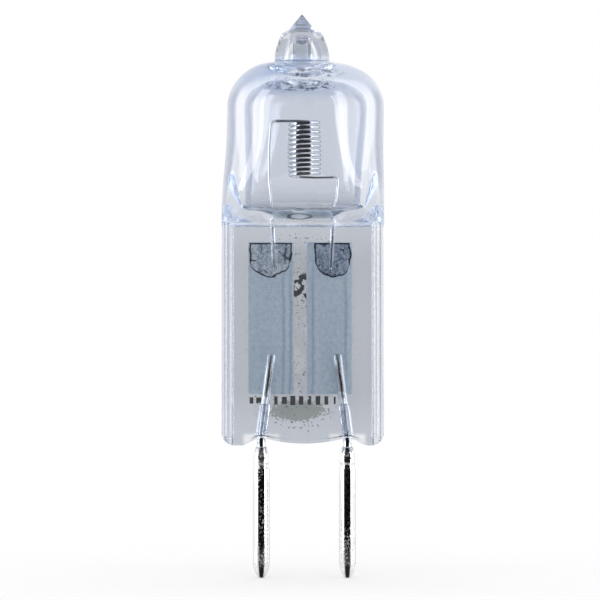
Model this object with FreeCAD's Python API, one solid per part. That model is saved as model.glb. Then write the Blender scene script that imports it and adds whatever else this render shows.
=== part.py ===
import FreeCAD, Part
import math
import os
from FreeCAD import Vector

# A two-pin halogen capsule bulb: a clear quartz envelope with a flat pinch seal, a coiled filament,
# two sealing foils, two lead wires and the two contact pins crimped on them.
#
# Millimetres, +Z up. X runs from pin to pin and Y through the thin direction of the seal, with the
# filament's legs on the -Y face of the foils. The pieces are drawn with z = 0 at the seal's lowest
# corners and lifted at the end, so the finished bulb has its origin midway between the pin tips.

# Contact pins
PIN_SPACING = 6.35
PIN_DIAMETER = 1.24
PIN_TIP_DROP = 9.80
PIN_COLLAR_TOP_DROP = 0.12
PIN_COLLAR_LENGTH = 1.50
PIN_COLLAR_DIAMETER = 1.15
PIN_COLLAR_TAPER = 0.05
PIN_MOUTH_LENGTH = 0.50
PIN_MOUTH_LIP = 0.06
PIN_NOSE_LENGTH = 0.95
PIN_NOSE_FLAT_RADIUS = 0.12
PIN_NOSE_RADIUS_SHARE = 0.82
PIN_NOSE_LENGTH_SHARE = 0.62
PIN_SOCKET_DEPTH = 4.20
PIN_NECK_DEPTH = 0.05
PIN_NECK_RISE = 0.16
CRIMP_DIAMETER = 1.00
CRIMP_DEPTH = 0.08
CRIMP_DROP = 0.28

# Lead wires between the pins and the foils
LEAD_DIAMETER = 0.66
LEAD_TOP_SPACING = 4.84
LEAD_OVERLAP_ON_FOIL = 2.94
LEAD_BEND_RISE = 0.90
LEAD_BEND_RADIUS = 3.00
CAPILLARY_CLEARANCE = 0.11
CAPILLARY_SHARE = 0.28
CAPILLARY_TAPER = 0.90
CAPILLARY_MOUTH = 1.60

# Sealing foils
FOIL_WIDTH = 3.36
FOIL_LENGTH = 11.20
FOIL_THICKNESS = 0.03
FOIL_EDGE_FEATHER = 0.50
FOIL_EDGE_THICKNESS = 0.008
FOIL_BOTTOM_RISE = 3.76
FOIL_LEFT_X = -2.47
FOIL_RIGHT_X = 1.83

# Loose pocket in the glass over each filament weld
POCKET_DEPTH = 0.05
POCKET_SIDE_LENGTH = 1.30
POCKET_BOW = 1.25
POCKET_LEFT_INSET = (0.03, 0.15)
POCKET_RIGHT_INSET = (0.60, 0.09)

# Filament: one tungsten wire, coiled between two straight legs
WIRE_DIAMETER = 0.22
COIL_MEAN_DIAMETER = 2.02
COIL_PITCH = 0.318
COIL_TURNS = 12
COIL_TOP_Z = 23.96
LEG_LEFT_X = -2.50
LEG_RIGHT_X = 2.50
LEG_SHOULDER_BEND = 0.30
LEG_SOFT_BEND = 1.20
LEG_WELD_LENGTH = 2.08
LEG_LEFT_KNEE_RISE = 2.60
LEG_RIGHT_KNEE_RISE = 1.50
LEG_ENTRY_DROP = 0.30
LEG_KNEE_Y = 0.81

# How far each leg has drifted towards the middle at its knee, where it enters the glass and at its weld
LEG_LEFT_DRIFTS = (-0.08, 0.10, 0.30)
LEG_RIGHT_DRIFTS = (0.05, 0.36, 0.56)

# Pinch seal
SEAL_WIDTH = 12.00
SEAL_HEIGHT = 16.40
SEAL_CENTRE_X = -0.12
WEB_THICKNESS = 2.60
RAIL_THICKNESS = 3.50
RAIL_WIDTH = 0.80
RAIL_END_RISE = 0.55
SEAL_CORNER_RADIUS = 0.95
SEAL_NOTCH_RISE = 0.60
SEAL_NOTCH_SHARE = 0.66
SEAL_NOTCH_SWELL = 0.62
SEAL_BULGE_RISE = 0.14
SEAL_SQUARENESS = 5.0
PANEL_CORNER_RADIUS = 0.25
PANEL_TOP_LEDGE = 0.10
SEAL_STEP = 0.04
SEAL_ROOT = 0.40

# Bulb
BULB_DIAMETER = 11.60
BULB_CENTRE_X = 0.08
BULB_SPRING_Z = 24.90
BULB_WALL = 1.25
DOME_TOP_Z = 28.25
DOME_FLAT_RADIUS = 2.10
CAVITY_FLOOR_Z = 16.90

# How the bulb flattens into the seal, in shares of the way from the seal up to the spring line
FLARE_START = 0.15
FLARE_END = 0.75
DEPTH_POWER = 2.8
SQUARENESS_POWER = 4.0
OUTER_SHARES = (0.0, 0.07, 0.16, 0.29, 0.46, 0.70)
FLOOR_WIDTH_POWER = 30
FLOOR_DEPTH_POWER = 3
FLOOR_WIDTH_ROUNDING = 0.4
FLOOR_DEPTH_ROUNDING = 0.5
FLOOR_EXTRA_SQUARENESS = 2.2
INNER_SHARES = (0.01, 0.04, 0.10, 0.20, 0.34, 0.50, 0.66, 0.82)
SECTION_POINTS = 24

# Exhaust tip
TIP_CENTRE_X = -0.18
TIP_BASE_RADIUS = 2.02
TIP_SHOULDER_RADIUS = 1.42
TIP_SHOULDER_RISE = 2.18
TIP_SIDE_SWELL = 0.17
TIP_CONE_RADIUS = 0.98
TIP_CONE_RISE = 2.38
TIP_HEIGHT = 3.50
TIP_POINT_RADIUS = 0.10
TIP_SINK = 0.60
TIP_BORE_RADIUS = 0.66
TIP_BORE_TOP_RISE = 1.50
TIP_BORE_FLARE = 0.80
TIP_BORE_FLARE_SHARE = 0.30
TIP_RIM_RADIUS = 1.72
TIP_RIM_THICKNESS = 0.42

# Sizes worked out from those above
HALF_PIN_SPACING = PIN_SPACING / 2
LEAD_RADIUS = LEAD_DIAMETER / 2
PIN_RADIUS = PIN_DIAMETER / 2
PIN_SOCKET_Z = -PIN_COLLAR_TOP_DROP - PIN_SOCKET_DEPTH
BULB_RADIUS = BULB_DIAMETER / 2
FOIL_TOP_Z = FOIL_BOTTOM_RISE + FOIL_LENGTH
FOIL_PLANE_Y = LEAD_RADIUS + FOIL_THICKNESS / 2
FOIL_FRONT_Y = FOIL_PLANE_Y - FOIL_THICKNESS / 2
WIRE_RADIUS = WIRE_DIAMETER / 2
COIL_RADIUS = COIL_MEAN_DIAMETER / 2
WELD_Y = FOIL_FRONT_Y - WIRE_RADIUS
WELD_END_Z = FOIL_TOP_Z - LEG_WELD_LENGTH
PANEL_HALF_WIDTH = SEAL_WIDTH / 2 - RAIL_WIDTH
PARTS = "parts"


def smooth_step(low, high, value):
    """0 below low, 1 above high, and a smooth rise between them."""
    share = min(1.0, max(0.0, (value - low) / (high - low)))
    return share * share * (3 - 2 * share)


def oval_wire(centre_x, z, half_width, half_depth, squareness):
    """A closed smooth outline, from an ellipse at squareness 2 to a rounded oblong above it."""
    points = []
    for step in range(SECTION_POINTS):
        turn = 2 * math.pi * step / SECTION_POINTS
        angle = math.atan2(half_depth * math.sin(turn), half_width * math.cos(turn))
        across = abs(math.cos(angle) / half_width) ** squareness
        through = abs(math.sin(angle) / half_depth) ** squareness
        reach = (across + through) ** (-1 / squareness)
        points.append(Vector(centre_x + reach * math.cos(angle), reach * math.sin(angle), z))
    curve = Part.BSplineCurve()
    curve.interpolate(Points=points, PeriodicFlag=True)
    return Part.Wire(curve.toShape())


def revolved(edges, centre_x):
    """The solid swept by a closed profile in the XZ plane round a vertical axis at centre_x."""
    face = Part.Face(Part.Wire(Part.sortEdges(edges)[0]))
    solid = face.revolve(Vector(0, 0, 0), Vector(0, 0, 1), 360)
    solid.translate(Vector(centre_x, 0, 0))
    return solid


def profile_point(radius, z):
    return Vector(radius, 0, z)


def line(start, end):
    return Part.LineSegment(start, end).toShape()


def arc(start, middle, end):
    return Part.Arc(start, middle, end).toShape()


def quarter_oval(centre, half_width, height):
    """A quarter of an ellipse in the XZ plane, from its outermost point up to its top."""
    if half_width >= height:
        ellipse = Part.Ellipse(Vector(centre.x + half_width, 0, centre.z),
                               Vector(centre.x, 0, centre.z + height), centre)
    else:
        ellipse = Part.Ellipse(Vector(centre.x, 0, centre.z + height),
                               Vector(centre.x + half_width, 0, centre.z), centre)
    outer = ellipse.parameter(Vector(centre.x + half_width, 0, centre.z))
    top = ellipse.parameter(Vector(centre.x, 0, centre.z + height))
    if (top - outer) % (2 * math.pi) > math.pi:
        outer, top = top, outer
    return Part.ArcOfEllipse(ellipse, outer, top).toShape()


def single_solid(shape):
    """The one solid inside a result that may be wrapped in a compound."""
    shape = shape.removeSplitter()
    if len(shape.Solids) != 1:
        raise ValueError("expected one solid and found %d" % len(shape.Solids))
    return shape.Solids[0]


# Quartz envelope


def outer_section(share):
    """The outline of the bulb at a share of the way from the seal to the dome."""
    width_share = 1 - smooth_step(FLARE_START, FLARE_END, share)
    half_width = BULB_RADIUS + (SEAL_WIDTH / 2 - BULB_RADIUS) * width_share
    rail = RAIL_THICKNESS / 2
    half_depth = rail + (BULB_RADIUS - rail) * (1 - (1 - share) ** DEPTH_POWER)
    squareness = 2 + (SEAL_SQUARENESS - 2) * (1 - share) ** SQUARENESS_POWER
    centre_x = SEAL_CENTRE_X + (BULB_CENTRE_X - SEAL_CENTRE_X) * smooth_step(0, 1, share)
    z = SEAL_HEIGHT + (BULB_SPRING_Z - SEAL_HEIGHT) * share
    return oval_wire(centre_x, z, half_width, half_depth, squareness)


def inner_section(share):
    """The outline of the cavity at a share of the way from its floor to the dome."""
    radius = BULB_RADIUS - BULB_WALL
    half_width = radius * (1 - (1 - share) ** FLOOR_WIDTH_POWER) ** FLOOR_WIDTH_ROUNDING
    half_depth = radius * (1 - (1 - share) ** FLOOR_DEPTH_POWER) ** FLOOR_DEPTH_ROUNDING
    squareness = 2 + FLOOR_EXTRA_SQUARENESS * (1 - share) ** 2
    centre_x = SEAL_CENTRE_X + (BULB_CENTRE_X - SEAL_CENTRE_X) * smooth_step(0, 1, share)
    z = CAVITY_FLOOR_Z + (BULB_SPRING_Z - CAVITY_FLOOR_Z) * share
    return oval_wire(centre_x, z, half_width, half_depth, squareness)


def bulb_body():
    """The round bulb as it narrows in depth, down to the top of the seal."""
    wires = [outer_section(share) for share in OUTER_SHARES]
    wires.append(round_section(BULB_RADIUS))
    return Part.makeLoft(wires, True)


def round_section(radius):
    centre = Vector(BULB_CENTRE_X, 0, BULB_SPRING_Z)
    return Part.Wire(Part.makeCircle(radius, centre, Vector(0, 0, 1)))


def dome(radius, top_z, flat_radius):
    """The closed end of the bulb above its spring line."""
    spring = profile_point(flat_radius, BULB_SPRING_Z)
    edges = [
        quarter_oval(spring, radius - flat_radius, top_z - BULB_SPRING_Z),
        line(profile_point(flat_radius, top_z), profile_point(0, top_z)),
        line(profile_point(0, top_z), profile_point(0, BULB_SPRING_Z)),
        line(profile_point(0, BULB_SPRING_Z), profile_point(radius, BULB_SPRING_Z)),
    ]
    return revolved(edges, BULB_CENTRE_X)


def tangent_point(start, centre, radius):
    """Where a line from start touches the upper outer side of a circle in the XZ plane."""
    reach = (centre - start).Length
    heading = math.atan2(centre.z - start.z, centre.x - start.x) - math.asin(radius / reach)
    run = math.sqrt(reach ** 2 - radius ** 2)
    return profile_point(start.x + run * math.cos(heading), start.z + run * math.sin(heading))


def exhaust_tip():
    """The sealed stub of the exhaust tube, drawn to a point where the flame closed it."""
    base = DOME_TOP_Z
    root = profile_point(TIP_BASE_RADIUS, base - TIP_SINK)
    foot = profile_point(TIP_BASE_RADIUS, base)
    shoulder = profile_point(TIP_SHOULDER_RADIUS, base + TIP_SHOULDER_RISE)
    side = profile_point((TIP_BASE_RADIUS + TIP_SHOULDER_RADIUS) / 2 + TIP_SIDE_SWELL,
                         base + TIP_SHOULDER_RISE / 2)
    cone_foot = profile_point(TIP_CONE_RADIUS, base + TIP_CONE_RISE)
    ball = profile_point(0, base + TIP_HEIGHT - TIP_POINT_RADIUS)
    touch = tangent_point(cone_foot, ball, TIP_POINT_RADIUS)
    apex = profile_point(0, base + TIP_HEIGHT)
    slope = math.atan2(touch.z - ball.z, touch.x)
    crest = (slope + math.pi / 2) / 2
    crest_point = profile_point(TIP_POINT_RADIUS * math.cos(crest),
                                ball.z + TIP_POINT_RADIUS * math.sin(crest))
    edges = [
        line(root, foot),
        arc(foot, side, shoulder),
        line(shoulder, cone_foot),
        line(cone_foot, touch),
        arc(touch, crest_point, apex),
        line(apex, profile_point(0, root.z)),
        line(profile_point(0, root.z), root),
    ]
    return revolved(edges, TIP_CENTRE_X)


def exhaust_bore():
    """The blind bore left inside the tip, flaring into the cavity."""
    ceiling = DOME_TOP_Z - BULB_WALL
    mouth = profile_point(TIP_BORE_RADIUS + TIP_BORE_FLARE, ceiling - TIP_RIM_THICKNESS)
    foot = profile_point(mouth.x, mouth.z - TIP_RIM_THICKNESS)
    throat = profile_point(TIP_BORE_RADIUS, DOME_TOP_Z)
    middle = profile_point(TIP_BORE_RADIUS + TIP_BORE_FLARE * TIP_BORE_FLARE_SHARE,
                           (mouth.z + throat.z) / 2)
    top = DOME_TOP_Z + TIP_BORE_TOP_RISE
    spring = profile_point(TIP_BORE_RADIUS, top - TIP_BORE_RADIUS)
    crown = profile_point(TIP_BORE_RADIUS * math.cos(math.pi / 4),
                          spring.z + TIP_BORE_RADIUS * math.sin(math.pi / 4))
    edges = [
        line(profile_point(0, foot.z), foot),
        line(foot, mouth),
        arc(mouth, middle, throat),
        line(throat, spring),
        arc(spring, crown, profile_point(0, top)),
        line(profile_point(0, top), profile_point(0, foot.z)),
    ]
    return revolved(edges, TIP_CENTRE_X)


def exhaust_rim():
    """The bead of glass that hangs round the bore's mouth inside the dome."""
    ceiling = Vector(TIP_CENTRE_X, 0, DOME_TOP_Z - BULB_WALL)
    return Part.makeTorus(TIP_RIM_RADIUS, TIP_RIM_THICKNESS, ceiling)


def cavity():
    """The gas space inside the bulb, with the tip's bore, as one solid to cut from the glass."""
    radius = BULB_RADIUS - BULB_WALL
    wires = [inner_section(share) for share in INNER_SHARES]
    wires.append(round_section(radius))
    lower = Part.makeLoft(wires, True)
    upper = dome(radius, DOME_TOP_Z - BULB_WALL, DOME_FLAT_RADIUS)
    space = lower.fuse(upper).cut(exhaust_rim())
    return single_solid(space.fuse(exhaust_bore()))


def seal_outline():
    """The front outline of the seal: round corners, a notch at each lead and a middle bulge."""
    left = SEAL_CENTRE_X - SEAL_WIDTH / 2
    right = SEAL_CENTRE_X + SEAL_WIDTH / 2
    radius = SEAL_CORNER_RADIUS
    slant = radius * (1 - math.sin(math.pi / 4))
    notch = SEAL_NOTCH_SHARE * (SEAL_WIDTH / 2 - radius - HALF_PIN_SPACING)
    left_corner = profile_point(left + radius, 0)
    right_corner = profile_point(right - radius, 0)
    left_notch = profile_point(-HALF_PIN_SPACING, SEAL_NOTCH_RISE)
    right_notch = profile_point(HALF_PIN_SPACING, SEAL_NOTCH_RISE)
    left_foot = profile_point(-HALF_PIN_SPACING - notch, 0)
    right_foot = profile_point(HALF_PIN_SPACING + notch, 0)
    left_rise = profile_point(-HALF_PIN_SPACING - notch / 2, SEAL_NOTCH_RISE * SEAL_NOTCH_SWELL)
    right_rise = profile_point(HALF_PIN_SPACING + notch / 2, SEAL_NOTCH_RISE * SEAL_NOTCH_SWELL)
    top = SEAL_HEIGHT + 2 * SEAL_ROOT
    edges = [
        line(profile_point(left, top), profile_point(left, radius)),
        arc(profile_point(left, radius), profile_point(left + slant, slant), left_corner),
        line(left_corner, left_foot),
        arc(left_foot, left_rise, left_notch),
        arc(left_notch, profile_point(0, SEAL_BULGE_RISE), right_notch),
        arc(right_notch, right_rise, right_foot),
        line(right_foot, right_corner),
        arc(right_corner, profile_point(right - slant, slant), profile_point(right, radius)),
        line(profile_point(right, radius), profile_point(right, top)),
        line(profile_point(right, top), profile_point(left, top)),
    ]
    return Part.Face(Part.Wire(edges))


def side_panel(side):
    """The hollow that the pinch jaw leaves on one face, between the rails and open at the bottom."""
    low = -SEAL_CORNER_RADIUS
    high = SEAL_HEIGHT - PANEL_TOP_LEDGE
    left = SEAL_CENTRE_X - PANEL_HALF_WIDTH
    depth = RAIL_THICKNESS
    panel = Part.makeBox(2 * PANEL_HALF_WIDTH, depth, high - low, Vector(left, 0, low))
    corners = [edge for edge in panel.Edges
               if edge.BoundBox.ZMin > (low + high) / 2 and edge.BoundBox.XLength < depth / 2]
    panel = panel.makeFillet(PANEL_CORNER_RADIUS, corners)
    foot = Part.makeBox(SEAL_WIDTH, depth, RAIL_END_RISE - low,
                        Vector(SEAL_CENTRE_X - SEAL_WIDTH / 2, 0, low))
    hollow = panel.fuse(foot)
    start = WEB_THICKNESS / 2 if side > 0 else -WEB_THICKNESS / 2 - depth
    hollow.translate(Vector(0, start, 0))
    return hollow


def pinch_seal():
    """The flat pressed end: a web with a raised rail along each edge, rooted in the bulb above."""
    half_width = SEAL_WIDTH / 2 - SEAL_STEP
    half_depth = RAIL_THICKNESS / 2 - SEAL_STEP
    root_z = SEAL_HEIGHT + SEAL_ROOT
    root = oval_wire(SEAL_CENTRE_X, root_z, half_width, half_depth, SEAL_SQUARENESS)
    block = Part.Face(root).extrude(Vector(0, 0, -root_z - SEAL_CORNER_RADIUS))
    outline = seal_outline()
    outline.translate(Vector(0, -RAIL_THICKNESS, 0))
    front = outline.extrude(Vector(0, 2 * RAIL_THICKNESS, 0))
    seal = block.common(front)
    for side in (-1, 1):
        seal = seal.cut(side_panel(side))
    return single_solid(seal)


def weld_pocket(foil_x, inset):
    """The thin loose space over a filament weld, straight at the top and bowed at the bottom."""
    left = foil_x - FOIL_WIDTH / 2 + inset[0]
    right = foil_x + FOIL_WIDTH / 2 - inset[1]
    middle_z = FOIL_TOP_Z - POCKET_SIDE_LENGTH
    y = FOIL_FRONT_Y - POCKET_DEPTH
    edges = [
        line(Vector(left, y, FOIL_TOP_Z), Vector(right, y, FOIL_TOP_Z)),
        line(Vector(right, y, FOIL_TOP_Z), Vector(right, y, middle_z)),
        arc(Vector(right, y, middle_z), Vector((left + right) / 2, y, middle_z - POCKET_BOW),
            Vector(left, y, middle_z)),
        line(Vector(left, y, middle_z), Vector(left, y, FOIL_TOP_Z)),
    ]
    return Part.Face(Part.Wire(edges)).extrude(Vector(0, POCKET_DEPTH, 0))


def capillary(side):
    """The narrow clearance that the glass keeps round a lead below its foil."""
    radius = LEAD_RADIUS + CAPILLARY_CLEARANCE
    top, bend, end = lead_points(side)
    upward = (top - bend).normalize()
    length = (top - bend).Length * CAPILLARY_SHARE
    straight = Part.makeCylinder(radius, length, bend, upward)
    taper = Part.makeCone(radius, LEAD_RADIUS, CAPILLARY_TAPER, bend + upward * length, upward)
    mouth = Part.makeCylinder(radius, CAPILLARY_MOUTH, bend, Vector(0, 0, -1))
    ball = Part.makeSphere(radius, bend)
    return straight.fuse([taper, mouth, ball])


def quartz_envelope(inserts):
    """The glass, with the cavity and the exact seats of everything sealed into it."""
    glass = bulb_body().fuse([pinch_seal(), dome(BULB_RADIUS, DOME_TOP_Z, DOME_FLAT_RADIUS)])
    glass = glass.fuse(exhaust_tip())
    glass = glass.cut(cavity())
    glass = glass.cut([
        weld_pocket(FOIL_LEFT_X, POCKET_LEFT_INSET),
        weld_pocket(FOIL_RIGHT_X, POCKET_RIGHT_INSET),
    ])
    glass = glass.cut([capillary(-1), capillary(1)])
    return single_solid(glass.cut(inserts))


# Wires, foils and pins


def rounded_path(points, radii):
    """Straight runs through points, joined by tangent arcs of the given radii at the inner points."""
    edges = []
    start = points[0]
    for index, radius in enumerate(radii, start=1):
        corner = points[index]
        back = (points[index - 1] - corner).normalize()
        ahead = (points[index + 1] - corner).normalize()
        half_turn = back.getAngle(ahead) / 2
        cut_back = radius / math.tan(half_turn)
        inward = (back + ahead).normalize()
        entry = corner + back * cut_back
        leave = corner + ahead * cut_back
        middle = corner + inward * (radius / math.sin(half_turn) - radius)
        edges.append(line(start, entry))
        edges.append(arc(entry, middle, leave))
        start = leave
    edges.append(line(start, points[-1]))
    return edges


def swept_wire(edges, radius):
    """A round wire along a smooth path."""
    path = Part.Wire(edges)
    start = path.Edges[0].valueAt(path.Edges[0].FirstParameter)
    direction = path.Edges[0].tangentAt(path.Edges[0].FirstParameter)
    profile = Part.Wire(Part.makeCircle(radius, start, direction))
    return path.makePipeShell([profile], True, False)


def coil_point(angle, z):
    return Vector(COIL_RADIUS * math.cos(angle), COIL_RADIUS * math.sin(angle), z)


def filament():
    """The tungsten wire: a leg up from each foil, and the coil between them."""
    bottom_z = COIL_TOP_Z - COIL_TURNS * COIL_PITCH
    helix = Part.makeHelix(COIL_PITCH, COIL_TURNS * COIL_PITCH, COIL_RADIUS)
    helix.rotate(Vector(0, 0, 0), Vector(0, 0, 1), 90)
    helix.translate(Vector(0, 0, bottom_z))
    climb = COIL_PITCH / (2 * math.pi * COIL_RADIUS)
    upper_left = Vector(LEG_LEFT_X, COIL_RADIUS, COIL_TOP_Z - LEG_LEFT_X * climb)
    lower_right = Vector(LEG_RIGHT_X, COIL_RADIUS, bottom_z - LEG_RIGHT_X * climb)
    entry_z = CAVITY_FLOOR_Z - LEG_ENTRY_DROP
    left_knee_z = CAVITY_FLOOR_Z + LEG_LEFT_KNEE_RISE
    right_knee_z = CAVITY_FLOOR_Z + LEG_RIGHT_KNEE_RISE
    left_points = [
        coil_point(math.pi / 2, COIL_TOP_Z),
        upper_left,
        Vector(LEG_LEFT_X + LEG_LEFT_DRIFTS[0], LEG_KNEE_Y, left_knee_z),
        Vector(LEG_LEFT_X + LEG_LEFT_DRIFTS[1], WELD_Y, entry_z),
        Vector(LEG_LEFT_X + LEG_LEFT_DRIFTS[2], WELD_Y, WELD_END_Z),
    ]
    right_points = [
        coil_point(math.pi / 2, bottom_z),
        lower_right,
        Vector(LEG_RIGHT_X - LEG_RIGHT_DRIFTS[0], LEG_KNEE_Y, right_knee_z),
        Vector(LEG_RIGHT_X - LEG_RIGHT_DRIFTS[1], WELD_Y, entry_z),
        Vector(LEG_RIGHT_X - LEG_RIGHT_DRIFTS[2], WELD_Y, WELD_END_Z),
    ]
    bends = [LEG_SHOULDER_BEND, LEG_SOFT_BEND, LEG_SOFT_BEND]
    left = swept_wire(rounded_path(left_points, bends), WIRE_RADIUS)
    right = swept_wire(rounded_path(right_points, bends), WIRE_RADIUS)
    start = coil_point(math.pi / 2, bottom_z)
    along = Vector(-1, 0, climb)
    profile = Part.Wire(Part.makeCircle(WIRE_RADIUS, start, along))
    coil = Part.Wire(helix).makePipeShell([profile], True, True)
    return single_solid(coil.fuse([left, right]))


def foil(centre_x):
    """A sealing foil with feathered long edges."""
    half = FOIL_WIDTH / 2
    flat = half - FOIL_EDGE_FEATHER
    thick = FOIL_THICKNESS / 2
    thin = FOIL_EDGE_THICKNESS / 2
    outline = [(-half, -thin), (-flat, -thick), (flat, -thick), (half, -thin),
               (half, thin), (flat, thick), (-flat, thick), (-half, thin)]
    points = [Vector(centre_x + x, FOIL_PLANE_Y + y, FOIL_BOTTOM_RISE) for x, y in outline]
    face = Part.Face(Part.makePolygon(points + points[:1]))
    return face.extrude(Vector(0, 0, FOIL_LENGTH))


def lead_points(side):
    """Top, bend and lower end of a lead's centre line. Side is -1 for left and 1 for right."""
    top = Vector(side * LEAD_TOP_SPACING / 2, 0, FOIL_BOTTOM_RISE + LEAD_OVERLAP_ON_FOIL)
    bend = Vector(side * HALF_PIN_SPACING, 0, LEAD_BEND_RISE)
    end = Vector(side * HALF_PIN_SPACING, 0, PIN_SOCKET_Z)
    return top, bend, end


def lead_wire(side):
    """A lead from the foil, splayed out to the pin's line and down into the pin."""
    points = list(lead_points(side))
    return single_solid(swept_wire(rounded_path(points, [LEAD_BEND_RADIUS]), LEAD_RADIUS))


def contact_pin(side):
    """A bullet-nosed sleeve whose narrower, tapered collar is crimped on the end of a lead."""
    mouth_z = -PIN_COLLAR_TOP_DROP
    collar_z = mouth_z - PIN_COLLAR_LENGTH
    collar = PIN_COLLAR_DIAMETER / 2
    mouth_edge = profile_point(LEAD_RADIUS + PIN_MOUTH_LIP, mouth_z)
    collar_top = profile_point(collar - PIN_COLLAR_TAPER, mouth_z - PIN_MOUTH_LENGTH)
    collar_foot = profile_point(collar, collar_z + 2 * PIN_NECK_RISE)
    neck = profile_point(collar - PIN_NECK_DEPTH, collar_z + PIN_NECK_RISE)
    body_top = profile_point(PIN_RADIUS, collar_z - PIN_NECK_RISE)
    nose_z = -PIN_TIP_DROP + PIN_NOSE_LENGTH
    nose_flat = profile_point(PIN_NOSE_FLAT_RADIUS, -PIN_TIP_DROP)
    nose_middle = profile_point(PIN_RADIUS * PIN_NOSE_RADIUS_SHARE,
                                nose_z - PIN_NOSE_LENGTH * PIN_NOSE_LENGTH_SHARE)
    edges = [
        line(profile_point(LEAD_RADIUS, mouth_z), mouth_edge),
        line(mouth_edge, collar_top),
        line(collar_top, collar_foot),
        line(collar_foot, neck),
        line(neck, body_top),
        line(body_top, profile_point(PIN_RADIUS, nose_z)),
        arc(profile_point(PIN_RADIUS, nose_z), nose_middle, nose_flat),
        line(nose_flat, profile_point(0, -PIN_TIP_DROP)),
        line(profile_point(0, -PIN_TIP_DROP), profile_point(0, PIN_SOCKET_Z)),
        line(profile_point(0, PIN_SOCKET_Z), profile_point(LEAD_RADIUS, PIN_SOCKET_Z)),
        line(profile_point(LEAD_RADIUS, PIN_SOCKET_Z), profile_point(LEAD_RADIUS, mouth_z)),
    ]
    pin = revolved(edges, side * HALF_PIN_SPACING)
    crimp_z = collar_top.z - CRIMP_DROP
    for face in (-1, 1):
        axis_y = face * (collar - CRIMP_DEPTH + CRIMP_DIAMETER / 2)
        start = Vector(side * HALF_PIN_SPACING - PIN_RADIUS, axis_y, crimp_z)
        pin = pin.cut(Part.makeCylinder(CRIMP_DIAMETER / 2, PIN_DIAMETER, start, Vector(1, 0, 0)))
    return single_solid(pin)


def build():
    """Every node of the bulb, by name."""
    nodes = {
        "filament": filament(),
        "foil_left": foil(FOIL_LEFT_X),
        "foil_right": foil(FOIL_RIGHT_X),
        "lead_wire_left": lead_wire(-1),
        "lead_wire_right": lead_wire(1),
        "contact_pin_left": contact_pin(-1),
        "contact_pin_right": contact_pin(1),
    }
    sealed_in = [nodes[name] for name in
                 ("filament", "foil_left", "foil_right", "lead_wire_left", "lead_wire_right")]
    nodes["quartz_envelope"] = quartz_envelope(sealed_in)
    for shape in nodes.values():
        shape.translate(Vector(0, 0, PIN_TIP_DROP))
    return nodes


def main():
    os.makedirs(PARTS, exist_ok=True)
    for name, shape in build().items():
        shape.exportStep(os.path.join(PARTS, name + ".step"))
        print(name, "valid" if shape.isValid() else "INVALID", round(shape.Volume, 4), "mm3")


main()
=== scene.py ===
import logging
import math
from dataclasses import dataclass, field
from enum import Enum
from typing import Callable, Optional, Sequence, Union

import bmesh
import bpy
from mathutils import Matrix, Vector


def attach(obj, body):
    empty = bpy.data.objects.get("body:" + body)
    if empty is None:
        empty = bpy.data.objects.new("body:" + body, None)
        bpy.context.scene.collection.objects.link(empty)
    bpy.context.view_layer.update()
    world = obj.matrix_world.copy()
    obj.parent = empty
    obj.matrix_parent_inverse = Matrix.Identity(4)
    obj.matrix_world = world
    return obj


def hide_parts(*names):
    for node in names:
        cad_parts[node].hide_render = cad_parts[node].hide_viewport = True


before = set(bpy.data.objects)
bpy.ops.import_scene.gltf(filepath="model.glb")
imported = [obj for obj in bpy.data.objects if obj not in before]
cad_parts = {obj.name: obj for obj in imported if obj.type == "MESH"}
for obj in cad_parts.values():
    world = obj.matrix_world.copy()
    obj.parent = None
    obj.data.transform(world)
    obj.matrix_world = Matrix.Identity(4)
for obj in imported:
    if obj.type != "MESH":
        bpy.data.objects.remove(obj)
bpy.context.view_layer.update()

LOG = logging.getLogger("capsule_bulb")
MM = 0.001
SEAL_LIFT = 9.80
WELD = 1e-7
PIN_HALF = 3.175
LEAD_RADIUS = 0.33
LEAD_TOP_X = 2.42
LEAD_TOP_Z = 6.70
LEAD_BEND_Z = 0.90
LEG_Y = 0.22
LEG_END = 12.88
LEG_ENTRY = 16.60
Colour = tuple[float, float, float, float]
Ellipse = tuple[float, float, float, float]
WHITE: Colour = (1.0, 1.0, 1.0, 1.0)


class Slot(Enum):
    """The record's material slot names."""

    QUARTZ = "quartz"
    TUNGSTEN = "tungsten"
    LEAD = "molybdenum_wire"
    NICKEL = "nickel_plate"


class Side(Enum):
    """The two halves of the bulb, as the sign of X."""

    LEFT = -1
    RIGHT = 1

    @property
    def word(self) -> str:
        """The side's name in lower case."""
        return self.name.lower()


def place(x: float, y: float, z: float) -> Vector:
    """A point in metres in the bulb's frame, from millimetres above the seal's lowest corners."""
    return Vector((x, y, z + SEAL_LIFT)) * MM


def smooth_step(low: float, high: float, value: float) -> float:
    """0 below low, 1 above high, and a smooth rise between them."""
    share = min(1.0, max(0.0, (value - low) / (high - low)))
    return share * share * (3 - 2 * share)


def mix(first: float, second: float, share: float) -> float:
    """The value at a share of the way from first to second."""
    return first + (second - first) * share


def spread(low: float, high: float, count: int) -> list[float]:
    """Evenly spaced values from low to high, both included."""
    return [mix(low, high, step / (count - 1)) for step in range(count)]


def arc(radius: float, z: float, reach: float, rise: float,
        angles: Sequence[float]) -> list[tuple[float, float]]:
    """Points of a profile, as radius and height, on an ellipse about a centre."""
    return [(radius + reach * math.cos(angle), z + rise * math.sin(angle)) for angle in angles]


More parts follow.
